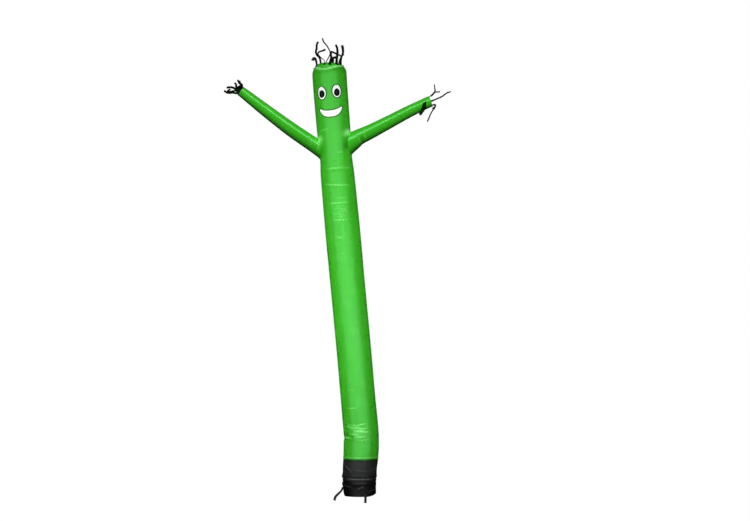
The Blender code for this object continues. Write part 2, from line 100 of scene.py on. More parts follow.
SLEEVE = table(Ring, [
    (0, -0.001, 0.215, 0), (0.01, -0.001, 0.215, 0), (0.06, -0.002, 0.2155, 0),
    (0.12, -0.004, 0.2165, 0), (0.165, -0.006, 0.2215, 0), (0.198, -0.006, 0.215, 0),
    (0.226, -0.006, 0.215, 0), (0.255, -0.004, 0.225, 0), (0.31, 0, 0.224, 0),
    (0.37, 0.003, 0.226, 0), (0.43, 0.008, 0.228, 0), (0.475, 0.012, 0.2285, 0),
])
BODY = table(Ring, [
    (0.4753, 0.012, 0.2285, 0), (0.56, 0.017, 0.2315, 0), (0.66, 0.02, 0.2325, 0),
    (0.77, 0.0205, 0.231, 1.5), (0.87, 0.0155, 0.231, 3.5), (0.97, 0.0065, 0.2312, 4.8),
    (1.28, -0.022, 0.228, 5.2), (1.91, -0.0765, 0.2275, 5.2), (2.75, -0.156, 0.2273, 5.2),
    (3.38, -0.2145, 0.2292, 5.2), (3.8, -0.2535, 0.2262, 5.2), (4.22, -0.2925, 0.221, 5.2),
    (4.43, -0.3105, 0.2105, 5), (4.6, -0.326, 0.216, 4.8), (4.9, -0.3505, 0.2215, 4.4),
    (5.48, -0.3948, 0.225, 4.4), (5.54, -0.398, 0.224, 4.4), (5.578, -0.401, 0.2135, 4.8),
    (5.604, -0.406, 0.198, 5.6), (5.614, -0.4075, 0.1915, 6),
])
CROWN = table(Ring, [
    (5.6143, -0.4075, 0.1913, 6), (5.621, -0.407, 0.1868, 5), (5.638, -0.4055, 0.17, 0.5),
    (5.658, -0.4055, 0.135, 0.5), (5.67, -0.4055, 0.1, 0.5), (5.676, -0.4055, 0.06, 0.5),
])

# How closely the body's rows lie along it
Span = namedtuple("Span", "low high step")
BODY_ROWS = table(Span, [
    (0.4753, 0.53, 0.0045), (0.53, 0.73, 0.014), (0.73, 1, 0.0042), (1, 1.14, 0.014),
    (1.14, 1.19, 0.005), (1.19, 1.39, 0.025), (1.39, 1.42, 0.005), (1.42, 3.16, 0.04),
    (3.16, 3.44, 0.01), (3.44, 3.59, 0.018), (3.59, 3.93, 0.0055), (3.93, 4.03, 0.014),
    (4.03, 4.12, 0.005), (4.12, 4.26, 0.012), (4.26, 4.32, 0.0045), (4.32, 4.47, 0.012),
    (4.47, 4.53, 0.005), (4.53, 4.9, 0.0075), (4.9, 5.48, 0.024), (5.48, 5.57, 0.011),
    (5.57, 5.614, 0.0036),
])
BODY_COLUMNS = 114
CROWN_ROWS = table(Span, [(5.6143, 5.64, 0.00214), (5.64, 5.676, 0.00277)])
CROWN_COLUMNS = 150
BODY_RIPPLE = (0.9, 0.0024, 3.0)  # its size round the tube, its height, and its seed

# The crown's cloth is gathered in small pleats from this height up
GATHERED_FROM = 5.63
GATHERED_OVER = 0.04
GATHER_HEIGHT = 0.0018
GATHERS = 23

# Main folds: middle height and angle, half the angle and height covered, and how far the cloth
# moves out (in, where negative)
Fold = namedtuple("Fold", "z angle half_angle half_height out")

BODY_FOLDS = table(Fold, [
    (0.757, -78, 40, 0.02, -0.012), (0.805, -62, 38, 0.026, -0.016), (0.868, 0, 45, 0.02, -0.007),
    (0.937, -25, 60, 0.02, -0.007), (1.15, 0, 45, 0.018, -0.004), (3.62, 10, 45, 0.022, -0.005),
    (3.83, 0, 60, 0.024, -0.006), (4.065, 0, 70, 0.024, -0.007), (4.28, -5, 85, 0.024, -0.009),
    (4.5, 25, 45, 0.024, -0.006), (4.7, -62, 26, 0.04, 0.007), (4.722, 58, 26, 0.04, 0.007),
])
SLEEVE_FOLDS = table(Fold, [
    (0.31, -62, 30, 0.045, -0.006), (0.37, -45, 22, 0.045, 0.004), (0.37, 75, 30, 0.05, -0.005),
    (0.255, -90, 40, 0.03, 0.007), (0.165, -76, 35, 0.025, 0.0065), (0.255, 90, 40, 0.03, 0.003),
    (0.212, 92, 50, 0.03, 0.006),
])

# Creases: a soft lip that runs round the tube, steep above and gentle below. Its middle height
# and angle, half the angle covered, its rise to the right and toward both ends, how far it
# stands out, and the height of its steep side. On an arm the height is the distance along it
# from its root's middle, and the angle is 0 below, 90 in front and 180 on top.
Crease = namedtuple("Crease", "z angle half_angle tilt bow out steep")

BODY_CREASES = table(Crease, [
    # the buckled cloth where the tube bends over
    (0.944, -24, 42, -0.018, 0.03, 0.006, 0.009), (0.951, 6, 16, 0.01, 0.002, 0.005, 0.007),
    (0.906, -22, 44, -0.03, 0.012, 0.0055, 0.008), (0.89, 8, 15, -0.006, 0, 0.004, 0.006),
    (0.868, -8, 32, -0.014, 0.004, 0.005, 0.007), (0.85, 10, 18, -0.01, 0.004, 0.0045, 0.006),
    (0.822, -26, 20, -0.012, 0.004, 0.0045, 0.007), (0.792, -2, 24, -0.004, 0.006, 0.006, 0.008),
    (0.774, -6, 24, -0.004, 0.003, 0.006, 0.008), (0.772, -58, 30, -0.008, 0.006, 0.0065, 0.008),
    (0.745, 4, 30, 0.002, 0.004, 0.003, 0.008),
    # single creases up the tube
    (1.164, -21, 22, 0.002, 0.003, 0.0042, 0.008), (1.403, -22, 20, -0.006, 0.002, 0.0016, 0.008),
    (3.18, -8, 13, -0.004, 0.002, 0.0022, 0.008), (3.394, -11, 15, -0.021, 0, 0.003, 0.008),
    (3.396, -11, 15, 0.015, 0, 0.0026, 0.008), (3.62, -4, 30, -0.01, 0.002, 0.0046, 0.008),
    (3.668, 2, 20, 0.006, 0.002, 0.002, 0.006), (3.7, -6, 24, -0.006, 0, 0.0024, 0.006),
    (3.732, 4, 22, 0.004, -0.002, 0.0022, 0.006), (3.765, -2, 26, -0.006, 0.002, 0.0022, 0.006),
    (3.8, 2, 22, 0.006, 0, 0.002, 0.006), (3.843, -8, 38, -0.002, -0.002, 0.0046, 0.008),
    (3.904, 8, 20, -0.002, 0, 0.0026, 0.007), (4.076, -4, 56, -0.022, 0.003, 0.0056, 0.009),
    (4.297, -10, 33, 0.002, -0.003, 0.0066, 0.009), (4.284, 41, 14, -0.006, 0, 0.0046, 0.008),
    (4.499, 18, 16, 0.002, 0, 0.0036, 0.007), (4.8, -36, 24, 0.022, -0.004, 0.0034, 0.009),
    # the turned edge above the black sleeve
    (0.512, -10, 200, 0, 0, 0.0026, 0.008),
])
CREASE_FOOT = 3.2  # a crease's gentle side, in heights of its steep one
HIGHLIGHT_FROM = 0.0045  # a crease this high gets a full painted highlight along its top
HIGHLIGHT_HEIGHT = 0.0068

# How creases wander and vary: by how much, how fast with the angle, and from one to the next
Wave = namedtuple("Wave", "size rate shift")
WANDER = table(Wave, [(0.0022, 0.19, 1.7), (0.0012, 0.47, 1)])
ARM_WANDER = [Wave(0.002, 0.2, 1)]
UNEVEN = Wave(0.22, 0.23, 2.3)
HIGHLIGHT_WAVE = Wave(0.4, 0.61, 1.9)

# Painted highlights or, with a share below 0, painted shade: round the roots of the arms and
# where the tube bends over
Spot = namedtuple("Spot", "z angle half_height half_angle share")
PAINTED_SPOTS = table(Spot, [
    (4.68, -70, 0.046, 13, 1.35), (4.69, -53, 0.038, 11, 0.5), (4.748, 62, 0.036, 19, 1.55),
    (4.715, 40, 0.03, 12, 0.3), (4.53, -52, 0.05, 13, -0.24), (4.585, 46, 0.054, 14, -0.52),
    (4.56, 30, 0.05, 12, -0.18), (0.862, -8, 0.056, 24, 0.34), (0.832, -74, 0.034, 14, -0.45),
    (0.768, -76, 0.008, 16, 0.45),
])
# The crown's seam: a ridge that sags at the front, by this much, round this angle, with a painted highlight
# along it by its share
SEAM_SAG = Spot(5.614, -13, 0.020, 34, 2.60)
SEAM_HEIGHT = 0.0120
SEAM_OUT = 0.0025
SEAM_PIPING = 0.0068
# Painted shade over the crown's cloth
CROWN_SHADE = 0.15
BACK_SEAM_OUT = 0.0016
BACK_SEAM_HALF_ANGLE = 2.2
# The body's hem has a painted shadow under its turned edge between these heights, by this share
HEM_DARK = (0.486, 0.503)
HEM_DARK_SHARE = 0.95

# The hem, drawn in on the left and rucked up at the right
Hem = namedtuple("Hem", "angle half_angle move")

HEM_DRAWN_IN = Hem(-90, 75, 0.016)
HEM_RUCK = Hem(95, 72, 0.036)
HEM_REACH = 0.120

SLEEVE_CREASES = table(Crease, [
    (0.405, -58, 22, -0.05, 0, 0.005, 0.009), (0.372, -46, 20, -0.06, 0.004, 0.005, 0.009),
    (0.345, -66, 18, -0.045, 0, 0.004, 0.008), (0.362, 62, 24, 0.022, 0.006, 0.0036, 0.009),
    (0.338, 8, 46, -0.024, 0.004, 0.0018, 0.01), (0.283, -6, 60, 0.004, 0.004, 0.0024, 0.01),
    (0.262, 14, 40, -0.004, 0.004, 0.0028, 0.009), (0.182, 6, 30, 0.002, 0.004, 0.0015, 0.009),
    (0.118, 6, 14, 0.022, 0, 0.003, 0.009), (0.14, -50, 24, -0.022, 0.004, 0.003, 0.009),
    (0.08, 48, 22, 0.02, 0.004, 0.0026, 0.009),
])
# Its painted shade in bands, and the painted highlight on the edge of the cloth that bulges over the strap
SLEEVE_SPOTS = table(Spot, [
    (0.475, 0, 0.01, 200, -0.75), (0.284, 0, 0.03, 80, -0.4), (0.233, 2, 0.008, 40, 1.75),
    (0.39, -66, 0.05, 14, -0.5),
])
SLEEVE_HIGHLIGHT = 0.8
SLEEVE_ROWS = [Span(0.0, 0.475, 0.0042)]
SLEEVE_COLUMNS = 150
STRAP = (0.2022, 0.2218)
STRAP_LIFT = 0.0016

# Stitches: their distance, their size, their top's share of it, how far they stand off the cloth
# at least, and where their rows lie
STITCH_PITCH = 0.0045
STITCH_SIZE = (0.0032, 0.0011, 0.0006)
STITCH_TOP = 0.65
STITCH_LIFT = 0.0003
SLEEVE_STITCHES = (0.018, 0.024, 0.462, 0.467)
BODY_STITCHES = (0.4805, 0.492, 5.600)
BACK_STITCHES = 178.2
BACK_ROWS = [Span(0.49, 5.55, 0.01)]
ROOT_STITCHES = (0.013, 0.019)  # beyond the root
CUFF_STITCHES = (0.010, 0.016)  # before the hand

# Arms: the centre's place, sideways and up, and the outer diameter
Section = namedtuple("Section", "x z diameter")

ARM_LEFT = table(Section, [
    (-0.43, 4.474, 0.198), (-0.572, 4.577, 0.197), (-0.913, 4.812, 0.187), (-1.1, 4.951, 0.174),
    (-1.28, 5.088, 0.16), (-1.463, 5.231, 0.143), (-1.525, 5.279, 0.136), (-1.557, 5.303, 0.132),
])
ARM_RIGHT = table(Section, [
    (-0.205, 4.566, 0.268), (-0.066, 4.664, 0.232), (-0.024, 4.692, 0.212), (0.021, 4.716, 0.203),
    (0.083, 4.744, 0.195), (0.371, 4.891, 0.171), (0.633, 5.029, 0.156), (0.87, 5.144, 0.146),
    (0.898, 5.157, 0.146), (0.933, 5.169, 0.144),
])
ROOT_TRIES = np.linspace(0, 0.45, 400)  # the distances along where the root may lie
ROOT_FLARE = 0.008
ROOT_REACH = 0.022
ROOT_INSIDE = 0.004
ARM_RIPPLE = (1.2, 0.0016)
ARM_SEEDS = {"left": 9.0, "right": 5.0}
SLOPE_STEP = 0.01  # how far apart the arm's direction is read
WELT_ON = 0.006  # beyond the root
WELT_RADIUS = 0.0034
ARM_ROWS = 230
ARM_ROWS_POWER = 1.25  # rows lie closer near the root
ARM_COLUMNS = 64
ARM_SIDES = 14  # facets of the solid's arms, which place the streamers
BODY_SIDES = 26

LEFT_CREASES = table(Crease, [
    (0.15, 110, 50, 0.012, 0, 0.005, 0.009), (0.19, 120, 34, -0.01, 0, 0.004, 0.008),
    (0.245, 100, 50, 0.008, 0, 0.003, 0.009), (0.33, 118, 30, -0.012, 0, 0.003, 0.009),
    (0.62, 118, 26, 0.01, 0, 0.0018, 0.009), (1.01, 120, 30, -0.01, 0, 0.0016, 0.009),
    (1.23, 70, 40, 0.01, 0, 0.0016, 0.008),
])
RIGHT_CREASES = table(Crease, [
    (0.215, 60, 44, 0.016, 0, 0.005, 0.009), (0.262, 70, 50, -0.012, 0, 0.0045, 0.009),
    (0.315, 80, 40, 0.01, 0, 0.0036, 0.008), (0.35, 120, 30, -0.01, 0, 0.0026, 0.008),
    (0.7, 120, 26, 0.008, 0, 0.0016, 0.009), (1.02, 118, 30, -0.01, 0, 0.0016, 0.009),
])
# Painted shade on the right arm near its root
RIGHT_SPOTS = [Spot(0.268, 72, 0.018, 28, -0.50)]
ARM_HIGHLIGHT = 0.4

# Face: angles in degrees, heights along the tube
Oval = namedtuple("Oval", "name angle z half_width half_height")
EYES = table(Oval, [
    ("eye_white_left", -30.7, 5.279, 0.062, 0.0855),
    ("eye_white_right", 21.9, 5.2915, 0.062, 0.0855),
])
PUPILS = table(Oval, [
    ("pupil_left", -29.9, 5.2665, 0.0375, 0.048), ("pupil_right", 22, 5.2747, 0.0375, 0.048),
])
Edge = namedtuple("Edge", "z tilt rise power")
MOUTH_ANGLE = -3.4
MOUTH_HALF_ANGLE = 41.6
MOUTH_UPPER = Edge(5.0505, 0.0095, 0.0510, 2.6)
MOUTH_LOWER = Edge(4.963, 0.0060, 0.0845, 2.77)
MOUTH_END = 0.998
MOUTH_CORNER_POWER = 10
MOUTH_RADIUS = 0.2222
MOUTH_GRID = (64, 16)
EYE_GRID = 33
PUPIL_GRID = 25
PILLOW = 0.0010  # how far a patch swells in its middle
PUPIL_LIFT = PATCH + 0.0014
PUPIL_EDGE_LIFT = PATCH + 0.0022
PUPIL_EDGE_WIDTH = 0.003
EDGE_WIDTH = 0.0145
EDGE_SHIFT = 0.15  # outward, in widths
EDGE_LIFT = 0.0012
EDGE_THREAD = 0.0006
# The stitched edge's section: its places across, in widths, and its rise there
EDGE_SECTION = ((-0.5, 0), (-0.3, 0.0008), (0, 0.0011), (0.3, 0.0008), (0.5, 0))

# Streamers, much as on the solids: the facet that carries each root, how far it is turned from
# the front near its root and at its tip, its widths there, and its route beyond its root
HAIR_SEWN = (0.1, 0.85)
HAIR_LIFT = 0.0016
CUFF_START = 0.4
CUFF_END = 1.35
CUFF_LIFT = -0.0038  # inside the arm
CURVE_STEPS = 10
# A band's edges come and go by this share of its width, it is cupped by this share at most, and
# its tip is cut askew by this much
BAND_UNEVEN = 0.10
BAND_CUP = 0.16
BAND_SLANT = 0.006
ACROSS = (-1, -0.5, 0, 0.5, 1)  # the points across a band, in half widths
Hair = namedtuple("Hair", "row side near far widths route")
Streamer = namedtuple("Streamer", "side near far route widths")

HAIR = table(Hair, [
    (1, 21, -40, 0, (0.032, 0.04), [(-0.567, -0.082, 5.684), (-0.58, -0.085, 5.72), (-0.598, -0.086, 5.727),
        (-0.616, -0.087, 5.698)]),
    (2, 16, 50, 0, (0.038, 0.028), [(-0.516, 0.088, 5.7), (-0.527, 0.08, 5.743), (-0.56, 0.072, 5.778),
        (-0.575, 0.065, 5.82), (-0.566, 0.06, 5.855), (-0.563, 0.055, 5.909), (-0.546, 0.05, 5.952)]),
    (2, 24, -75, -15, (0.02, 0.03), [(-0.462, -0.13, 5.698), (-0.512, -0.128, 5.742),
        (-0.543, -0.124, 5.78), (-0.532, -0.122, 5.808), (-0.49, -0.12, 5.823), (-0.446, -0.118, 5.841)]),
    (2, 14, 58, 40, (0.022, 0.027), [(-0.432, 0.12, 5.705), (-0.4, 0.105, 5.762), (-0.387, 0.095, 5.805),
        (-0.398, 0.088, 5.842), (-0.43, 0.08, 5.898), (-0.472, 0.072, 5.948), (-0.489, 0.07, 5.998)]),
    (2, 0, 10, 30, (0.038, 0.034), [(-0.378, -0.142, 5.7), (-0.369, -0.14, 5.738), (-0.377, -0.136, 5.772),
        (-0.37, -0.132, 5.8)]),
    (2, 3, 20, 30, (0.04, 0.033), [(-0.3, -0.092, 5.722), (-0.291, -0.09, 5.778), (-0.291, -0.086, 5.83),
        (-0.296, -0.082, 5.868), (-0.314, -0.08, 5.906)]),
    (2, 11, -15, 0, (0.034, 0.032), [(-0.352, 0.126, 5.7), (-0.349, 0.12, 5.735), (-0.325, 0.114, 5.748),
        (-0.3, 0.11, 5.738)]),
    (1, 5, 70, 10, (0.03, 0.028), [(-0.241, -0.042, 5.695), (-0.238, -0.045, 5.74), (-0.26, -0.048, 5.768),
        (-0.3, -0.05, 5.784), (-0.342, -0.053, 5.806), (-0.38, -0.056, 5.818)]),
    (1, 4, 40, 20, (0.032, 0.022), [(-0.252, -0.084, 5.71), (-0.236, -0.088, 5.752), (-0.207, -0.09, 5.78)]),
    (1, 9, -50, 0, (0.028, 0.038), [(-0.264, 0.11, 5.705), (-0.24, 0.105, 5.755), (-0.22, 0.098, 5.808),
        (-0.222, 0.09, 5.86), (-0.231, 0.085, 5.906)]),
])
LEFT_HAND = table(Streamer, [
    (6, 0, 30, [(-1.548, -0.022, 5.386), (-1.578, -0.026, 5.41), (-1.566, -0.028, 5.438)]),
    (4, 0, 20, [(-1.609, -0.06, 5.352), (-1.616, -0.06, 5.385), (-1.634, -0.058, 5.41)]),
    (3, 10, 0, [(-1.628, -0.064, 5.33), (-1.658, -0.062, 5.346), (-1.696, -0.058, 5.351),
        (-1.741, -0.055, 5.345)]),
    (1, 0, 30, [(-1.626, -0.042, 5.276), (-1.66, -0.04, 5.282), (-1.697, -0.036, 5.278),
        (-1.73, -0.034, 5.28), (-1.722, -0.032, 5.306), (-1.692, -0.03, 5.328)]),
    (11, 70, 0, [(-1.622, 0.05, 5.308), (-1.68, 0.03, 5.3), (-1.736, 0.015, 5.285), (-1.776, 0.01, 5.308)]),
    (7, 0, 40, [(-1.55, 0.024, 5.392), (-1.584, 0.028, 5.424), (-1.6, 0.03, 5.452)]),
    (5, 20, 20, [(-1.56, -0.062, 5.364), (-1.59, -0.092, 5.346), (-1.6, -0.1, 5.304), (-1.588, -0.1, 5.26)]),
], (0.034, 0.028))
RIGHT_HAND = table(Streamer, [
    (6, 0, 50, [(0.96, -0.018, 5.262), (0.984, -0.02, 5.302), (0.981, -0.018, 5.348),
        (0.977, -0.015, 5.392)]),
    (7, 60, 20, [(0.952, 0.022, 5.26), (0.975, 0.032, 5.286), (1.012, 0.04, 5.292), (1.053, 0.045, 5.296)]),
    (3, 40, 10, [(1.007, -0.07, 5.199), (1.078, -0.066, 5.232), (1.137, -0.06, 5.274),
        (1.191, -0.058, 5.294)]),
    (1, 10, 10, [(0.99, -0.048, 5.118), (0.978, -0.056, 5.09), (0.946, -0.062, 5.072)]),
    (12, 60, 20, [(0.99, 0.048, 5.112), (0.982, 0.052, 5.082), (0.952, 0.052, 5.046), (0.926, 0.048, 4.998),
        (0.911, 0.045, 4.96), (0.886, 0.042, 4.903)]),
], (0.026, 0.019))
DRAPED_WIDTHS = (0.040, 0.086)
DRAPED_FROM = (0.858, 106)
DRAPED_TO = (0.798, 35)
DRAPED_ROUTE = [(0.800, -0.048, 5.012, 0.052), (0.796, -0.046, 4.984, 0.022)]
DRAPED_STEPS = 18
DRAPED_LIFT = 0.0022

Tie = namedtuple("Tie", "name row side near far widths route")
TIE_SEWN = (0.9, 0.1)
TIE_LIFT = 0.0022
TIES = table(Tie, [
    ("tie_front", 1, 1, -21, -12, (0.033, 0.036), [(0.076, -0.203, -0.03), (0.072, -0.206, -0.079)]),
    ("tie_left", 3, 20, 38, 0, (0.031, 0.035), [(-0.244, -0.062, 0.068), (-0.286, -0.066, 0.025),
        (-0.317, -0.068, -0.008), (-0.333, -0.068, -0.056)]),
])

# Colours: the nylon, its painted highlights, the thread round the patches, the sleeve's painted
# highlights, and a grey added to the sleeve, ramped by twice its height
GREEN = (0.050, 0.505, 0.018)
HIGHLIGHT_GREEN = (0.290, 1.000, 0.230)
DARK_GREEN = (0.014, 0.150, 0.012)
HIGHLIGHT_BLACK = (0.140, 0.146, 0.142)
GREY_BY_HEIGHT = [(0.0, (0, 0, 0)), (0.54, (0, 0, 0)), (0.66, (0.016, 0.018, 0.017)), (0.9, (0.018, 0.021, 0.019))]
GREEN_GLOSS = (0.44, 1.0, 0.60, 1)
HOLLOW_SHADE = 0.12  # what is left of a colour in a dark hollow
RIP_TINT = (0.45, 0.55, 0.45, 1)
RIP_SHARPNESS = 14.0

FLOOR_Z = -0.6
FLOOR_REACH = 60

# Lights: width and height in metres, the power in watts that reaches the dull and the glossy part
# of a surface, how wide its beam spreads in degrees, and what it reaches (see light_groups)
Light = namedtuple("Light", "name place aim width height dull gloss spread reach")
LIGHTS = table(Light, [
    ("above", (-1, -15, 20), (-0.1, 0, 2), 7, 7, 45, 0, 30, "front"),
    ("middle", (-0.6, -7, 2.6), (-0.2, 0, 2.6), 3, 3, 185, 0, 180, "front"),
    ("head", (1.4, -7, 4.6), (-0.3, 0, 4.6), 2, 3, 19, 0, 90, "front"),
    ("face", (-0.3, -7, 5.2), (-0.3, 0, 5.2), 2, 2, 55, 0, 180, "white"),
    ("side_left", (-6.5, -4, 2.7), (0, 0, 2.7), 3, 3, 70, 0, 80, "front"),
    ("side_right", (6.5, -4, 2.9), (0, 0, 2.9), 3, 3, 52, 0, 80, "front"),
    ("band_low", (-1, -9, 0.6), (-1, 0, 0.6), 25, 2.2, 0, 1450, 180, "front"),
    ("band_middle", (-1, -9, 2.8), (-1, 0, 2.8), 25, 2.2, 0, 715, 180, "front"),
    ("band_high", (-0.2, -9, 5), (-0.2, 0, 5), 25, 2.2, 0, 610, 180, "front"),
    ("arm_key", (0, -12, 12), (0, 0, 5), 8, 5, 2010, 0, 180, "high"),
    ("streak", (0, -8.8, 13.2), (0, 0, 5), 16, 4.5, 0, 1950, 180, "high"),
    ("back", (-2, 11, 6.5), (-0.2, 0, 3), 5, 5, 620, 500, 180, "all"),
])


# ---------------------------------------------------------------- curves and surfaces


def lerp(a, b, t):
    return a + (b - a) * t


def smooth(xs, ys, at):
    """Values on a smooth curve through the points, which never overshoots them."""
    xs, ys, at = (np.asarray(v, float) for v in (xs, ys, at))
    gaps = np.diff(xs)
    slopes = np.diff(ys) / gaps
    turns, total = slopes[:-1] * slopes[1:], slopes[:-1] + slopes[1:]
    inner = np.where(turns > 0, 2 * turns / np.where(total == 0, 1, total), 0)
    tangents = np.concatenate([slopes[:1], inner, slopes[-1:]])
    i = np.clip(np.searchsorted(xs, at) - 1, 0, len(gaps) - 1)
    t = (at - xs[i]) / gaps[i]
    return (
        ys[i] * (1 + 2 * t) * (1 - t) ** 2
        + ys[i + 1] * t**2 * (3 - 2 * t)
        + tangents[i] * gaps[i] * t * (1 - t) ** 2
        - tangents[i + 1] * gaps[i] * t**2 * (1 - t)
    )


def follow(known, items, names, at):
    """The named values of the items, each on a smooth curve through them."""
    return [smooth(known, [getattr(item, name) for item in items], at) for name in names.split()]


def bell(across):
    """A smooth hump from -1 to 1."""
    return np.where(np.abs(across) < 1, np.cos(np.clip(across, -1, 1) * math.pi / 2) ** 2, 0.0)


def hill(across):
    """A soft hill round 0, with a long foot on both sides."""
    return np.exp(-(across**2))


def turned(angle):
    """The same angle, from -180 to 180."""
    return (np.asarray(angle, float) + 180) % 360 - 180


def unit(vectors):
    return vectors / np.linalg.norm(vectors, axis=-1, keepdims=True)


def running(line):
    """The distance along a line at each of its points."""
    return np.concatenate([[0], np.cumsum(np.linalg.norm(np.diff(line, axis=0), axis=1))])


def folds_out(folds, z, angle):
    """How far the main folds move the cloth."""
    return sum(
        f.out * bell((angle - f.angle) / f.half_angle) * hill((z - f.z) / f.half_height) for f in folds
    )


def spots_painted_light(spots, z, angle):
    """How much painted highlight the spots give the cloth, or painted shade where it is below 0."""
    return sum(
        s.share * hill((z - s.z) / s.half_height) * hill((angle - s.angle) / s.half_angle) for s in spots
    )


def wave(of, angle, number):
    return of.size * np.sin(angle * of.rate + number * of.shift)


def crease_lines(creases, angle, wander):
    """Each crease with its number, where its middle lies at these angles, and how it fades out."""
    for number, crease in enumerate(creases):
        u = (angle - crease.angle) / crease.half_angle
        middle = crease.z + crease.tilt * u + crease.bow * u**2 + sum(wave(w, angle, number) for w in wander)
        yield number, crease, middle, np.sqrt(bell(u))


def lip(height, steep):
    """A crease's section: steep on its upper side, gentle below."""
    return hill(height / np.where(height > 0, steep, steep * CREASE_FOOT))


def creases_out(creases, z, angle):
    """How far the creases move the cloth. Each one wanders a little and varies along it."""
    return sum(
        crease.out * (1 - UNEVEN.size + wave(UNEVEN, angle, number)) * fade * lip(z - middle, crease.steep)
        for number, crease, middle, fade in crease_lines(creases, angle, WANDER)
    )


def crease_top_highlight(crease, height):
    """How much painted highlight a crease gets at these heights over its middle."""
    return min(1.0, crease.out / HIGHLIGHT_FROM) * hill(height / HIGHLIGHT_HEIGHT)


def crease_highlights(creases, z, angle):
    """How much painted highlight lies along the tops of the creases."""
    return sum(
        crease_top_highlight(crease, z - top) * (1 - HIGHLIGHT_WAVE.size + wave(HIGHLIGHT_WAVE, angle, number)) * fade
        for number, crease, top, fade in crease_lines(creases, angle, WANDER)
    )


def tube_points(rings, z, angle, out):
    """Points on a tube at heights along it and angles round it, moved out."""
    x, radius, lean = follow([ring.z for ring in rings], rings, "x radius lean", z)
    a, lean = np.radians(angle), np.radians(lean)
    r = radius + out
    side = r * np.sin(a)
    return np.stack([x + side * np.cos(lean), -r * np.cos(a), z + side * np.sin(lean)], -1)


def ripple(z, angle, size, amount, seed):
    """A slow unevenness of blown-up cloth, longer along the tube than round it."""
    z, angle = np.broadcast_arrays(z, angle)
    flat = [
        noise.noise(Vector((math.sin(t) / size, math.cos(t) / size, h / (size * 4) + seed)))
        for t, h in zip(np.radians(angle).ravel(), z.ravel())
    ]
    return amount * np.array(flat).reshape(z.shape)


def seam_sag(angle):
    return SEAM_SAG.half_height * hill((turned(angle) - SEAM_SAG.angle) / SEAM_SAG.half_angle)


def on_seam(z, angle):
    """How near the crown's seam a point lies: 1 on it."""
    return hill((z - SEAM_SAG.z + seam_sag(angle)) / SEAM_HEIGHT)


def body_point(z, angle, out=0.0):
    """A point on the body, moved by its folds, creases and sewn seams."""
    around = turned(angle)
    moved = folds_out(BODY_FOLDS, z, around) + creases_out(BODY_CREASES, z, around)
    moved = moved + SEAM_OUT * on_seam(z, around)
    moved = moved + BACK_SEAM_OUT * hill((180 - np.abs(around)) / BACK_SEAM_HALF_ANGLE)
    return tube_points(BODY, z, angle, moved + out)


def crown_point(z, angle, out=0.0):
    """A point on the crown, which is gathered toward its vent."""
    points = tube_points(CROWN, z, angle, out + SEAM_OUT * on_seam(z, angle))
    gathered = np.clip((z - GATHERED_FROM) / GATHERED_OVER, 0, 1)
    points[..., 2] += GATHER_HEIGHT * np.sin(np.radians(angle) * GATHERS) * gathered
    return points


def hem_move(hem, angle):
    return hem.move * bell((turned(angle) - hem.angle) / hem.half_angle)


def sleeve_point(z, angle, out=0.0):
    """A point on the sleeve, whose hem fades into the round sleeve above it."""
    z, angle = np.broadcast_arrays(z, turned(angle))
    fade = np.clip(1 - z / HEM_REACH, 0, 1)
    moved = out + folds_out(SLEEVE_FOLDS, z, angle) + creases_out(SLEEVE_CREASES, z, angle)
    points = tube_points(SLEEVE, z, angle, moved - hem_move(HEM_DRAWN_IN, angle) * fade**3)
    points[..., 2] += hem_move(HEM_RUCK, angle) * fade
    return points


class Arm:
    """An arm tube: its centre line and its diameter, by the distance along it."""

    def __init__(self, sections, creases, spots=()):
        self.sections, self.creases, self.spots = sections, creases, spots
        self.known = running(np.array([(s.x, s.z) for s in sections]))
        self.length, self.last = self.known[-1], self.known[-2]
        self.flip = sections[-1].x > sections[0].x

    def at(self, along):
        return follow(self.known, self.sections, "x z diameter", along)

    def point(self, along, angle, out=0.0):
        """A point round the arm, from its underside: 180 is its top and 90 its front."""
        along = np.asarray(along, float)
        x, z, diameter = self.at(along)
        before, after = self.at(along - SLOPE_STEP), self.at(along + SLOPE_STEP)
        dx, dz = after[0] - before[0], after[1] - before[1]
        size = np.hypot(dx, dz)
        a, r = np.radians(angle), diameter / 2 + out
        below = r * np.cos(a) * np.where(dx < 0, -1, 1)
        return np.stack([x + below * (dz / size), -r * np.sin(a), z - below * (dx / size)], -1)

    def out(self, along, angle):
        lines = crease_lines(self.creases, angle, ARM_WANDER)
        return sum(crease.out * fade * lip(middle - along, crease.steep) for _, crease, middle, fade in lines)

    def worn(self, along, angle):
        """The painted highlight on the creases' tops, and the spots' painted highlight and shade, on the arm.
        """
        lines = crease_lines(self.creases, angle, ARM_WANDER)
        tops = ARM_HIGHLIGHT * sum(crease_top_highlight(crease, along - middle) * fade for _, crease, middle, fade in lines)
        return tops + spots_painted_light(self.spots, along, angle)

    def root(self, angle):
        """How far along the arm each line down it leaves the body."""
        gx, gy, gz = np.moveaxis(self.point(ROOT_TRIES[:, None], angle[None, :]), -1, 0)
        known = [ring.z for ring in BODY]
        x, lean = follow(known, BODY, "x lean", gz)
        lean = np.radians(lean)
        x, radius = follow(known, BODY, "x radius", gz - (gx - x) * np.tan(lean))
        inside = np.hypot((gx - x) / np.cos(lean), gy) < radius
        return ROOT_TRIES[::-1][np.argmax(inside[::-1], axis=0)]


# ---------------------------------------------------------------- meshes


def add_object(name, mesh, material):
    mesh.materials.append(material)
    mesh.shade_smooth()
    thing = bpy.data.objects.new(name, mesh)
    bpy.context.scene.collection.objects.link(thing)
    return thing


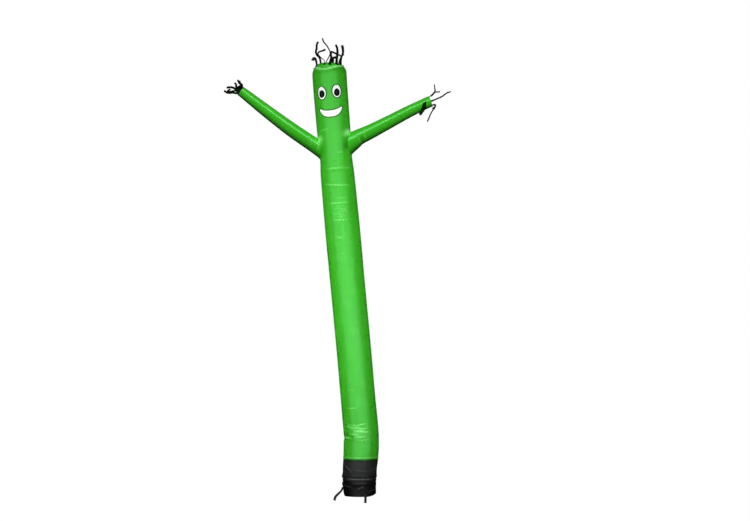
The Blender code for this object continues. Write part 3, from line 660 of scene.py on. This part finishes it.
def grid_object(name, points, material, closed=False, flip=False, size=None, worn=None):
    """A mesh over rows of points, with a map in metres of the flat cloth, and how much painted
    highlight (or, below zero, painted shade) each point carries."""
    points = np.asarray(points, float)
    rows, columns = points.shape[:2]
    spans = columns if closed else columns - 1
    i, j = np.meshgrid(np.arange(rows - 1), np.arange(spans), indexing="ij")
    corners = ((0, 0), (0, 1), (1, 1), (1, 0))
    quads = np.stack([(i + up) * columns + (j + on) % columns for up, on in corners], -1).reshape(-1, 4)
    if size:
        width, v = size[0], np.linspace(0, size[1], rows)
    else:
        width, v = running(points[rows // 2])[-1], running(points[:, 0])
    u = np.linspace(0, width, spans + 1)
    uv = np.stack([np.stack([u[j + on], v[i + up]], -1) for up, on in corners], 2).reshape(-1, 4, 2)
    if flip:
        quads, uv = quads[:, ::-1], uv[:, ::-1]
    mesh = bpy.data.meshes.new(name)
    mesh.from_pydata(points.reshape(-1, 3).tolist(), [], quads.tolist())
    mesh.uv_layers.new(name="cloth").data.foreach_set("uv", uv.ravel())
    if worn is not None:
        worn = np.broadcast_to(worn, (rows, columns)).astype(np.float32).ravel()
        mesh.attributes.new("worn", "FLOAT", "POINT").data.foreach_set("value", worn)
    return add_object(name, mesh, material)


def levels(spans):
    """Heights of rows through all the spans, at about the step of each."""
    rows = []
    for low, high, step in spans:
        rows.append(np.linspace(low, high, max(2, round((high - low) / step)), endpoint=False))
    return np.concatenate([*rows, [high]])


def round_angles(count):
    return turned(np.arange(count) * 360 / count)


def small_boxes(name, centres, along, up, material):
    """Stitches: one small closed box at each centre, along its seam and narrower on top."""
    along = unit(along)
    side = unit(np.cross(along, up))
    up = np.cross(side, along)
    length, width, height = STITCH_SIZE
    points = np.stack([
        centres + along * s * length / 2 * taper + side * t * width / 2 * taper + up * w * height
        for s in (-1, 1) for t in (-1, 1) for w, taper in ((0, 1), (1, STITCH_TOP))
    ], 1)
    box = np.array([(0, 1, 3, 2), (4, 6, 7, 5), (0, 4, 5, 1), (2, 3, 7, 6), (1, 5, 7, 3), (0, 2, 6, 4)])
    faces = (np.arange(len(points))[:, None, None] * 8 + box[None]).reshape(-1, 4)
    mesh = bpy.data.meshes.new(name)
    mesh.from_pydata(points.reshape(-1, 3).tolist(), [], faces.tolist())
    return add_object(name, mesh, material)


def along_line(at, known, values):
    return np.stack([np.interp(at, known, column) for column in values.T], -1)


def stitch_rows(name, rows, material):
    """Stitches along lines on a surface, from rows made by seam_row."""
    centres, along, up = [], [], []
    for line, outward, closed in rows:
        if closed:
            line, outward = np.vstack([line, line[:1]]), np.vstack([outward, outward[:1]])
        known = running(line)
        at = np.arange(STITCH_PITCH / 2, known[-1], STITCH_PITCH)
        centres.append(along_line(at, known, line))
        ahead, behind = (along_line(at + shift * STITCH_PITCH, known, line) for shift in (0.25, -0.25))
        along.append(ahead - behind)
        up.append(along_line(at, known, outward))
    return small_boxes(name, np.vstack(centres), np.vstack(along), np.vstack(up), material)


def outward_of(surface, *where):
    """Unit directions out of a surface, from the surface function itself."""
    return unit(surface(*where, 0.004) - surface(*where, 0.0))


def seam_row(surface, along, angle, out, closed=True):
    """A line on a surface for stitches, the directions out of the surface, and whether it closes."""
    along, angle = np.broadcast_arrays(along, angle)
    return surface(along, angle, out), outward_of(surface, along, angle), closed


# ---------------------------------------------------------------- materials


def feed(node, inputs):
    """Each input gets a value, or another node's output."""
    for name, value in inputs.items():
        if isinstance(value, bpy.types.NodeSocket):
            node.id_data.links.new(value, node.inputs[name])
        else:
            node.inputs[name].default_value = value


def add_node(tree, kind, inputs=None, **settings):
    """A new node's outputs."""
    node = tree.nodes.new("ShaderNode" + kind)
    for name, value in settings.items():
        setattr(node, name, value)
    feed(node, inputs or {})
    return node.outputs


def math_node(operation, a, b=0.5):
    return add_node(a.id_data, "Math", {0: a, 1: b}, operation=operation)[0]


def noise_node(vector, scale, detail):
    return add_node(vector.id_data, "TexNoise", {"Vector": vector, "Scale": scale, "Detail": detail})["Fac"]


def mix_node(kind, share, first, second):
    inputs = {"Fac": share, "Color1": first, "Color2": second}
    return add_node(first.id_data, "MixRGB", inputs, blend_type=kind)["Color"]


def bump_node(height, strength, distance, **below):
    inputs = {"Strength": strength, "Distance": distance, "Height": height, **below}
    return add_node(height.id_data, "Bump", inputs)["Normal"]


def ramp_node(factor, *stops):
    node = factor.id_data.nodes.new("ShaderNodeValToRGB")
    ramp = node.color_ramp
    while len(ramp.elements) < len(stops):
        ramp.elements.new(0.5)
    for element, (place, colour) in zip(ramp.elements, stops):
        element.position = place
        element.color = (*colour, 1)
    feed(node, {0: factor})
    return node.outputs["Color"]


def scaled(colour, share):
    return tuple(c * share for c in colour)


def new_material(name, colour, roughness, specular=0.5):
    """A material, its shader, its object coordinates, and its flat map: whole, across and along."""
    material = bpy.data.materials.new(name)
    material.use_nodes = True
    tree = material.node_tree
    shader = tree.nodes["Principled BSDF"]
    feed(shader, {"Base Color": (*colour, 1), "Roughness": roughness, "Specular IOR Level": specular})
    place = add_node(tree, "TexCoord")
    uv = add_node(tree, "SeparateXYZ", {0: place["UV"]})
    return material, shader, place["Object"], place["UV"], uv["X"], uv["Y"]


def thread_waves(u, v, pitch):
    """Threads over and under: two families of rounded ridges."""
    across, along = (math_node("SINE", math_node("MULTIPLY", on, 2 * math.pi / pitch)) for on in (u, v))
    return math_node("MULTIPLY", across, along)


def rip_lines(u, v, spacing):
    """Thin raised lines in squares, as in ripstop cloth."""
    ridges = (math_node("COSINE", math_node("MULTIPLY", on, 2 * math.pi / spacing)) for on in (u, v))
    lines = (math_node("POWER", math_node("MAXIMUM", ridge, 0.0), RIP_SHARPNESS) for ridge in ridges)
    return math_node("MAXIMUM", *lines)


def cloth_material(name, colour, roughness, pitch, variation=0.10, specular=0.5, spacing=None, grey_by_height=None,
                   wrinkled=None, pale=None):
    """Woven cloth: threads and ripstop lines on its own map, slow changes of colour and gloss, and
    fine crinkles, which run round a blown-up tube where its depth of wrinkles is given."""
    material, shader, where, uv, u, v = new_material(name, colour, roughness, specular)
    tint = ramp_node(
        noise_node(where, 3.5, 4.0),
        (0.30, scaled(colour, 1 - variation)), (0.55, colour), (0.75, scaled(colour, 1 + variation)))
    if spacing:
        lines = rip_lines(u, v, spacing)
        tint = mix_node("MULTIPLY", math_node("MULTIPLY", lines, 0.16), tint, RIP_TINT)
    # A grey added to the colour, more of it higher up
    if grey_by_height:
        height = add_node(material.node_tree, "SeparateXYZ", {0: where})["Z"]
        patchy = math_node("MULTIPLY", noise_node(where, 9.0, 5.0), 0.10)
        share = math_node("MULTIPLY", math_node("ADD", height, patchy), 2.0)
        tint = mix_node("ADD", 1.0, tint, ramp_node(share, *grey_by_height))
    # Painted light from each point's share: painted highlights toward the pale colour, painted shade toward a
    # darkened copy of the cloth's colour
    if pale:
        worn = add_node(material.node_tree, "Attribute", attribute_name="worn")["Fac"]
        for sign, goal in ((1, pale), (-1, scaled(colour, HOLLOW_SHADE))):
            share = math_node("MAXIMUM", math_node("MULTIPLY", worn, sign), 0.0)
            tint = mix_node("MIX", math_node("MINIMUM", share, 1.0), tint, (*goal, 1))
    if wrinkled:
        # fine wrinkles run round each tube, so its gloss spreads along it
        tangent = add_node(material.node_tree, "Tangent", direction_type="UV_MAP")["Tangent"]
        feed(shader, {
            "Specular Tint": GREEN_GLOSS, "Anisotropic": 1.0, "Anisotropic Rotation": 0.25, "Tangent": tangent})
        inputs = {"Vector": uv, "Scale": (3.0, 34.0, 1.0)}
        stretched = add_node(material.node_tree, "Mapping", inputs)["Vector"]
        normal = bump_node(noise_node(stretched, 1.0, 4.0), wrinkled, 0.004)
    else:
        normal = bump_node(noise_node(where, 38.0, 4.0), 0.10, 0.004)
    normal = bump_node(thread_waves(u, v, pitch), 0.16, 0.0002, Normal=normal)
    if spacing:
        normal = bump_node(lines, 0.25, 0.0003, Normal=normal)
    gloss = ramp_node(
        noise_node(where, 11.0, 3.0), (0.3, (roughness - 0.05,) * 3), (0.7, (roughness + 0.06,) * 3))
    feed(shader, {"Base Color": tint, "Roughness": gloss, "Normal": normal})
    return material


def thread_material(name, colour):
    """Sewing thread: short twisted ridges."""
    material, shader, where, *_ = new_material(name, colour, 0.55, 0.1)
    twist = noise_node(where, 900.0, 2.0)
    tint = ramp_node(twist, (0.3, scaled(colour, 0.7)), (0.7, scaled(colour, 1.15)))
    feed(shader, {"Base Color": tint, "Normal": bump_node(twist, 0.3, 0.0003)})
    return material


def webbing_material(name, colour):
    """Flat woven webbing: coarse threads, and a patchy shade."""
    material, shader, where, _, u, v = new_material(name, colour, 0.62, 0.15)
    tint = ramp_node(noise_node(where, 45.0, 4.0), (0.3, scaled(colour, 0.7)), (0.75, scaled(colour, 1.5)))
    feed(shader, {"Base Color": tint, "Normal": bump_node(thread_waves(u, v, 0.0032), 0.5, 0.0006)})
    return material


def pupil_material():
    """Black cloth, with a painted highlight in grey in the middle."""
    material = cloth_material("black_cloth", (0.003, 0.003, 0.004), 0.5, 0.0010, variation=0.2, specular=0.02)
    tree = material.node_tree
    uv = add_node(tree, "TexCoord")["UV"]
    centred = add_node(tree, "Mapping", {"Vector": uv, "Location": (-0.5, -0.5, 0)})["Vector"]
    middle = add_node(tree, "TexGradient", {"Vector": centred}, gradient_type="SPHERICAL")["Fac"]
    grey = ramp_node(middle, (0.62, (0, 0, 0)), (0.95, (0.016, 0.016, 0.022)))
    shader = tree.nodes["Principled BSDF"]
    black = shader.inputs["Base Color"].links[0].from_socket
    feed(shader, {"Base Color": mix_node("ADD", 1.0, black, grey)})
    return material


def make_materials():
    nylon = dict(pitch=0.0012, variation=0.05, spacing=0.006, pale=HIGHLIGHT_GREEN)
    ribbon = dict(pitch=0.0009, variation=0.3)
    return {
        "green": cloth_material("green_ripstop_nylon", GREEN, 0.30, wrinkled=0.25, **nylon),
        "green_arms": cloth_material("green_ripstop_arms", GREEN, 0.32, wrinkled=0.08, **nylon),
        "sleeve": cloth_material(
            "coated_black_cloth", (0.003, 0.003, 0.003), 0.42, 0.0016, variation=0.25, specular=0.06,
            pale=HIGHLIGHT_BLACK, grey_by_height=GREY_BY_HEIGHT),
        "webbing": webbing_material("black_webbing", (0.004, 0.004, 0.004)),
        "ribbon": cloth_material("black_ribbon", (0.002, 0.005, 0.002), 0.45, specular=0.04, **ribbon),
        # The wide streamer's black carries a green tint, a painted reflection of the green cloth
        "ribbon_wide": cloth_material("black_ribbon_wide", (0.001, 0.016, 0.001), 0.5, specular=0.02, **ribbon),
        "white": cloth_material("white_cloth", (0.94, 1.0, 0.93), 0.55, 0.0010, variation=0.04),
        "black": pupil_material(),
        "edge": thread_material("dark_green_edge", DARK_GREEN),
        "green_thread": thread_material("green_thread", scaled(GREEN, 0.8)),
        "black_thread": thread_material("black_thread", (0.006, 0.006, 0.006)),
    }


# ---------------------------------------------------------------- pieces


def own(piece, slot, *nodes):
    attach(piece, "root")
    if nodes:
        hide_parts(*nodes)


def cloth(name, points, material, thickness, offset, slot, *nodes, **grid):
    """A sheet over rows of points, the slot of its colour, which is not used, and the nodes that it replaces.
    """
    piece = grid_object(name, points, material, **grid)
    solid = piece.modifiers.new("cloth", "SOLIDIFY")
    solid.thickness, solid.offset = thickness, offset
    own(piece, slot, *nodes)
    return piece


def build_body(m):
    z = levels(BODY_ROWS)[:, None]
    angle = round_angles(BODY_COLUMNS)[None, :]
    points = body_point(z, angle, ripple(z, angle, *BODY_RIPPLE))
    # Painted light on the body: highlights along the creases' tops and on the crown's seam, highlights and
    # shade at the spots, and the painted shadow under the hem's turned edge
    worn = crease_highlights(BODY_CREASES, z, angle) + spots_painted_light(PAINTED_SPOTS, z, angle)
    worn = worn + SEAM_SAG.share * on_seam(z, angle)
    low, high = HEM_DARK
    worn = worn - HEM_DARK_SHARE * np.clip((high - z) / (high - low), 0, 1)
    body = cloth("cloth_body", points, m["green"], NYLON, -1, "green_nylon", "body_tube",
                 closed=True, worn=worn)


def build_crown(m):
    z = levels(CROWN_ROWS)[:, None]
    ring = round_angles(CROWN_COLUMNS)
    angle = ring[None, :]
    # Painted light on the crown: the seam's highlight, and painted shade over the rest
    worn = SEAM_SAG.share * on_seam(z, angle) - CROWN_SHADE
    crown = cloth("cloth_crown", crown_point(z, angle), m["green"], NYLON, -1, "green_nylon", "head_crown",
                  closed=True, worn=worn)
    seam = SEAM_SAG.z - seam_sag(ring)
    line = body_point(seam, ring, SEAM_PIPING / 3)
    # The seam's piping carries a full painted highlight
    piping("seam_crown", line, outward_of(body_point, seam, ring), SEAM_PIPING, m, worn=1.0)


def build_arm(side, arm, m):
    angle = np.arange(ARM_COLUMNS) * 360 / ARM_COLUMNS
    root = arm.root(angle) - ROOT_INSIDE
    share = np.linspace(0, 1, ARM_ROWS) ** ARM_ROWS_POWER
    along = root[None, :] + (arm.length - root[None, :]) * share[:, None]
    angles = np.broadcast_to(angle[None, :], along.shape)
    out = arm.out(along, angles) + ripple(along, angles, *ARM_RIPPLE, ARM_SEEDS[side])
    out = out + ROOT_FLARE * np.exp(-(along - root[None, :]) / ROOT_REACH)
    # Painted highlights along the arm's crease tops, and the spots' painted shade
    points, worn = arm.point(along, angles, out), arm.worn(along, angles)
    piece = cloth(f"cloth_arm_{side}", points, m["green_arms"], NYLON, -1, "green_nylon", f"arm_{side}",
                  closed=True, flip=arm.flip, worn=worn)
    build_welt(side, arm, angle, root, m)


def piping(name, line, away, radius, m, worn=0.0):
    """A thin rounded welt, green like the cloth, along a closed line of points."""
    tangent = unit(np.roll(line, -1, 0) - np.roll(line, 1, 0))
    away = unit(away)
    turns = np.linspace(0, 2 * math.pi, 9)[:, None, None]
    rows = line[None] + radius * (np.cos(turns) * away[None] + np.sin(turns) * np.cross(tangent, away)[None])
    welt = grid_object(name, rows, m["green"], closed=True, worn=worn)
    welt.modifiers.new("weld", "WELD").merge_threshold = 0.00005
    own(welt, "green_nylon")


def build_welt(side, arm, angle, root, m):
    """The sewn edge where the arm meets the body, with the stitches by it and those at the cuff."""
    line = arm.point(root + WELT_ON, angle, 0.0005)
    piping(f"seam_arm_{side}", line, arm.point(root + WELT_ON, angle, 0.01) - line, WELT_RADIUS, m)
    rows = []
    for on in ROOT_STITCHES:
        rows.append(seam_row(arm.point, root + on, angle, arm.out(root + on, angle) + STITCH_LIFT))
    for back in CUFF_STITCHES:
        rows.append(seam_row(arm.point, arm.length - back, angle, 2 * STITCH_LIFT))
    own(stitch_rows(f"stitches_arm_{side}", rows, m["green_thread"]), "green_nylon")


def build_sleeve(m):
    z = levels(SLEEVE_ROWS)[:, None]
    ring = round_angles(SLEEVE_COLUMNS)
    angle = ring[None, :]
    # Painted light on the sleeve: highlights along the creases' tops, and the spots' painted shade and the
    # painted highlight at the strap's edge
    worn = SLEEVE_HIGHLIGHT * crease_highlights(SLEEVE_CREASES, z, angle) + spots_painted_light(SLEEVE_SPOTS, z, angle)
    sleeve = cloth("cloth_sleeve", sleeve_point(z, angle), m["sleeve"], SLEEVE_CLOTH, -1,
                   "black_cloth", "base_sleeve", closed=True, worn=worn)
    rows = sleeve_point(np.linspace(*STRAP, 6)[:, None], angle, STRAP_LIFT)
    strap = cloth("webbing_strap", rows, m["webbing"], WEBBING, 1, "black_webbing", "cinch_strap", closed=True)
    rows = [seam_row(sleeve_point, level, ring, STITCH_LIFT) for level in SLEEVE_STITCHES]
    own(stitch_rows("stitches_sleeve", rows, m["black_thread"]), "black_cloth")


def build_body_stitches(m):
    """Stitches at the body's hem and crown, and down both sides of its back seam."""
    ring, lift = round_angles(SLEEVE_COLUMNS), 2 * STITCH_LIFT
    rows = [seam_row(body_point, level, ring, lift) for level in BODY_STITCHES]
    for turn in (BACK_STITCHES, -BACK_STITCHES):
        rows.append(seam_row(body_point, levels(BACK_ROWS), turn, lift, closed=False))
    own(stitch_rows("stitches_body", rows, m["green_thread"]), "green_nylon")


def disc_grid(count):
    """A square grid pressed into a unit disc, with no pole."""
    s = np.linspace(-1, 1, count)
    u, v = np.meshgrid(s, s)
    return u * np.sqrt(1 - v**2 / 2), v * np.sqrt(1 - u**2 / 2)


def oval_patch(oval, lift, count, material, slot, size=None):
    """A patch that lies a little proud of the cloth, with its rim sewn down. Also gives its
    outline, and the body's radius there."""
    x, y = disc_grid(count)
    radius = smooth([ring.z for ring in BODY], [ring.radius for ring in BODY], oval.z)
    angle = oval.angle + np.degrees(oval.half_width * x / radius)
    rise = lift + LIFT + PILLOW * (1 - np.clip(np.hypot(x, y), 0, 1) ** 8)
    points = body_point(oval.z + oval.half_height * y, angle, rise)
    piece = cloth(f"cloth_{oval.name}", points, material, PATCH, 1, slot, oval.name, size=size)
    turn = np.linspace(0, 2 * math.pi, 96, endpoint=False)
    line = np.stack([oval.half_width * np.cos(turn) / radius, oval.half_height * np.sin(turn)], -1)
    return piece, line + np.array([math.radians(oval.angle), oval.z]), radius


def border(name, line, radius, width, lift, material, slot):
    """Satin stitching over a patch's edge: line is (angle, height) in radians and metres."""
    flat = np.stack([line[:, 0] * radius, line[:, 1]], -1)
    tangent = np.roll(flat, -1, 0) - np.roll(flat, 1, 0)
    normal = unit(np.stack([tangent[:, 1], -tangent[:, 0]], -1))
    rows = []
    for share, rise in EDGE_SECTION:
        at = flat + normal * width * (share + EDGE_SHIFT)
        rows.append(body_point(at[:, 1], np.degrees(at[:, 0] / radius), lift + rise))
    return cloth(name, rows, material, EDGE_THREAD, 1, slot, closed=True, flip=True)


def mouth_edges(u):
    upper, lower = (e.z + e.tilt * u + e.rise * np.abs(u) ** e.power for e in (MOUTH_UPPER, MOUTH_LOWER))
    half = (upper - lower) / 2 * np.sqrt(1 - u**MOUTH_CORNER_POWER)
    return (upper + lower) / 2, half


def build_face(m):
    for eye, pupil in zip(EYES, PUPILS):
        side = eye.name.rsplit("_", 1)[1]
        white, line, radius = oval_patch(eye, 0.0, EYE_GRID, m["white"], "white_cloth")
        edge = border(f"edge_eye_{side}", line, radius, EDGE_WIDTH, EDGE_LIFT, m["edge"], "green_nylon")
        black, line, radius = oval_patch(
            pupil, PUPIL_LIFT, PUPIL_GRID, m["black"], "black_ribbon", size=(1, 1))
        rim = border(f"edge_pupil_{side}", line, radius, PUPIL_EDGE_WIDTH, PUPIL_EDGE_LIFT,
                     m["black_thread"], "black_ribbon")
    u, v = (np.linspace(-1, 1, count) for count in MOUTH_GRID)
    u, v = np.sin(u * math.pi / 2) * MOUTH_END, v[:, None]
    centre, half = mouth_edges(u)
    angle = MOUTH_ANGLE + MOUTH_HALF_ANGLE * u
    rise = LIFT + PILLOW * (1 - v**8) * (1 - u**16)
    points = body_point(centre + half * v, angle + 0 * v, rise)
    mouth = cloth("cloth_mouth", points, m["white"], PATCH, 1, "white_cloth", "mouth")
    top, bottom = (np.stack([np.radians(angle), centre + way * half], -1) for way in (1, -1))
    outline = np.vstack([bottom, top[::-1]])
    edge = border("edge_mouth", outline, MOUTH_RADIUS, EDGE_WIDTH, EDGE_LIFT, m["edge"], "green_nylon")


def smooth_curve(points):
    """Points along a smooth curve through the given ones, from the second to the last."""
    known = [*points, points[-1]]
    curve = [points[1]]
    for a, b, c, d in zip(known, known[1:], known[2:], known[3:]):
        for step in range(1, CURVE_STEPS + 1):
            t = step / CURVE_STEPS
            bend = (c - a) * t + (2 * a - 5 * b + 4 * c - d) * t**2 + (3 * b - a - 3 * c + d) * t**3
            curve.append(b + bend / 2)
    return curve


def strip_rows(path, across, item, seed):
    """Rows along a band: its root lies across its seat, then it turns on the way, cupped a little
    and not quite even in width."""
    rows = []
    last = len(path) - 1
    for i, point in enumerate(path):
        width = lerp(*item.widths, i / last)
        along = (path[min(i + 1, last)] - path[max(i - 1, 0)]).normalized()
        if i > 1:
            facing = along.cross(Vector((0, 1, 0)))
            if facing.dot(across) < 0:
                facing.negate()
            turn = math.radians(lerp(item.near, item.far, (i - 1) / (last - 1)))
            across = across + Quaternion(along, turn) @ facing.normalized()
            across = (across - across.dot(along) * along).normalized()
        free = min(1.0, max(0, i - 1) / 8)
        over = across.cross(along).normalized()
        half = width / 2 * (1 - BAND_UNEVEN * free * (0.5 + 0.5 * math.sin(i * 0.9 + seed)))
        cup = width * BAND_CUP * free * math.sin(i * 0.23 + seed * 1.3)
        slant = BAND_SLANT * math.sin(seed * 2.1) if i == last else 0
        rows.append([
            point + across * half * share + over * cup * (1 - share * share) + along * slant * share
            for share in ACROSS
        ])
    return rows


def build_strip(kind, node, seat, item, m, seed):
    """A ribbon or a webbing tie that hangs from its seat."""
    start, end, across = seat
    path = [start, *smooth_curve([start, end, *(Vector(p) for p in item.route)])]
    rows = strip_rows(path, across, item, seed)
    thickness = RIBBON if kind == "ribbon" else WEBBING
    piece = cloth(f"{kind}_{node}", rows, m[kind], thickness, 0, f"black_{kind}", node)


def seat_on(surface, low, high, side, sides, shares, out):
    """The middle line of a sewn end on one facet of a surface, and the direction across it."""
    angle = (side + 0.5) * 360 / sides

    def place(level, turn):
        return Vector(surface(np.float64(level), np.float64(turned(turn)), out))

    start, end = (place(lerp(low, high, share), angle) for share in shares)
    return start, end, (place(low, angle + 2) - place(low, angle - 2)).normalized()


def build_hair(m):
    for number, lock in enumerate(HAIR, 1):
        low, high = CROWN[lock.row].z, CROWN[lock.row + 1].z
        seat = seat_on(crown_point, low, high, lock.side, BODY_SIDES, HAIR_SEWN, HAIR_LIFT)
        build_strip("ribbon", f"hair_streamer_{number}", seat, lock, m, number)


def build_hand(side, arm, streamers, m):
    for number, streamer in enumerate(streamers, 1):
        start, end, across = seat_on(
            arm.point, arm.last, arm.length, streamer.side, ARM_SIDES, (CUFF_START, 1.0), CUFF_LIFT)
        end = start + (end - start) * (CUFF_END - CUFF_START) / (1 - CUFF_START)
        node = f"{side}_hand_streamer_{number}"
        build_strip("ribbon", node, (start, end, across), streamer, m, number + 3)


def build_draped(arm, m):
    """A wide streamer sewn on the cuff's front, which hangs on below it."""
    rows = []
    for i in range(DRAPED_STEPS + 1):
        x, angle = (lerp(a, b, i / DRAPED_STEPS) for a, b in zip(DRAPED_FROM, DRAPED_TO))
        width = lerp(*DRAPED_WIDTHS, i / DRAPED_STEPS)
        places = [x + share * width / 2 for share in ACROSS]
        along = np.interp(places, [section.x for section in ARM_RIGHT], arm.known)
        rows.append(arm.point(along, np.full(5, angle), DRAPED_LIFT + 0.0010 * math.sin(i * 0.8)))
    for x, y, z, width in DRAPED_ROUTE:
        rows.append([
            (x + share * width / 2, y - 0.004 * (1 - share**2), z + 0.003 * share) for share in ACROSS
        ])
    name = f"right_hand_streamer_{len(RIGHT_HAND) + 1}"
    piece = cloth(f"ribbon_{name}", rows, m["ribbon_wide"], RIBBON, 0, "black_ribbon", name)


def build_ties(m):
    for seed, tie in enumerate(TIES):
        low, high = SLEEVE[tie.row].z, SLEEVE[tie.row + 1].z
        seat = seat_on(sleeve_point, low, high, tie.side, BODY_SIDES, TIE_SEWN, TIE_LIFT)
        build_strip("webbing", tie.name, seat, tie, m, seed)


# ---------------------------------------------------------------- stage and light


def make_stage():
    """A pale floor, which only the camera sees."""
    material, shader, *_ = new_material("pale_floor", (0.8, 0.8, 0.8), 0.9)
    feed(shader, {"Emission Color": (1, 1, 1, 1), "Emission Strength": 1.0})
    corners = [(x * FLOOR_REACH, y * FLOOR_REACH, FLOOR_Z) for x, y in ((-1, -1), (1, -1), (1, 1), (-1, 1))]
    mesh = bpy.data.meshes.new("floor")
    mesh.from_pydata(corners, [], [(0, 1, 2, 3)])
    floor = add_object("floor", mesh, material)
    floor.visible_diffuse = False
    floor.visible_glossy = False


def light_groups():
    """What each lamp reaches: the arms and the crown, what is in front of them, the white patches,
    or all but the floor."""
    groups = {name: bpy.data.collections.new(name) for name in ("front", "high", "white", "all")}
    for thing in bpy.context.scene.collection.all_objects:
        if thing.type == "MESH" and thing.name != "floor":
            high = "arm" in thing.name or "crown" in thing.name
            groups["high" if high else "front"].objects.link(thing)
            groups["all"].objects.link(thing)
            if thing.name.startswith(("cloth_eye_white", "cloth_mouth")):
                groups["white"].objects.link(thing)
    return groups


def make_lights():
    groups = light_groups()
    for light in LIGHTS:
        for share, power in (("dull", light.dull), ("gloss", light.gloss)):
            if not power:
                continue
            data = bpy.data.lights.new(f"{light.name}_{share}", "AREA")
            data.shape = "RECTANGLE"
            data.size, data.size_y = light.width, light.height
            data.energy = power
            data.spread = math.radians(light.spread)
            lamp = bpy.data.objects.new(data.name, data)
            place = Vector(light.place)
            lamp.location = place
            lamp.rotation_euler = (Vector(light.aim) - place).to_track_quat("-Z", "Y").to_euler()
            lamp.visible_camera = False
            lamp.visible_diffuse, lamp.visible_glossy = share == "dull", share == "gloss"
            lamp.light_linking.receiver_collection = groups[light.reach]
            bpy.context.scene.collection.objects.link(lamp)


def make_world():
    """White where the camera sees it, and nearly dark as a light."""
    world = bpy.data.worlds.new("world")
    bpy.context.scene.world = world
    world.use_nodes = True
    tree = world.node_tree
    tree.nodes.clear()
    seen = add_node(tree, "Background", {"Color": (1, 1, 1, 1), "Strength": 1.0})[0]
    dim = add_node(tree, "Background", {"Color": (0.92, 0.96, 1.0, 1), "Strength": 0.01})[0]
    by_camera = add_node(tree, "LightPath")["Is Camera Ray"]
    add_node(tree, "OutputWorld", {0: add_node(tree, "MixShader", {0: by_camera, 1: dim, 2: seen})[0]})
    bpy.context.scene.view_settings.view_transform = "Standard"


make_camera()
materials = make_materials()
left_arm = Arm(ARM_LEFT, LEFT_CREASES)
right_arm = Arm(ARM_RIGHT, RIGHT_CREASES, RIGHT_SPOTS)
build_sleeve(materials)
build_body_stitches(materials)
build_body(materials)
build_crown(materials)
build_arm("left", left_arm, materials)
build_arm("right", right_arm, materials)
build_face(materials)
build_hair(materials)
build_hand("left", left_arm, LEFT_HAND, materials)
build_hand("right", right_arm, RIGHT_HAND, materials)
build_draped(right_arm, materials)
build_ties(materials)
make_stage()
make_lights()
make_world()
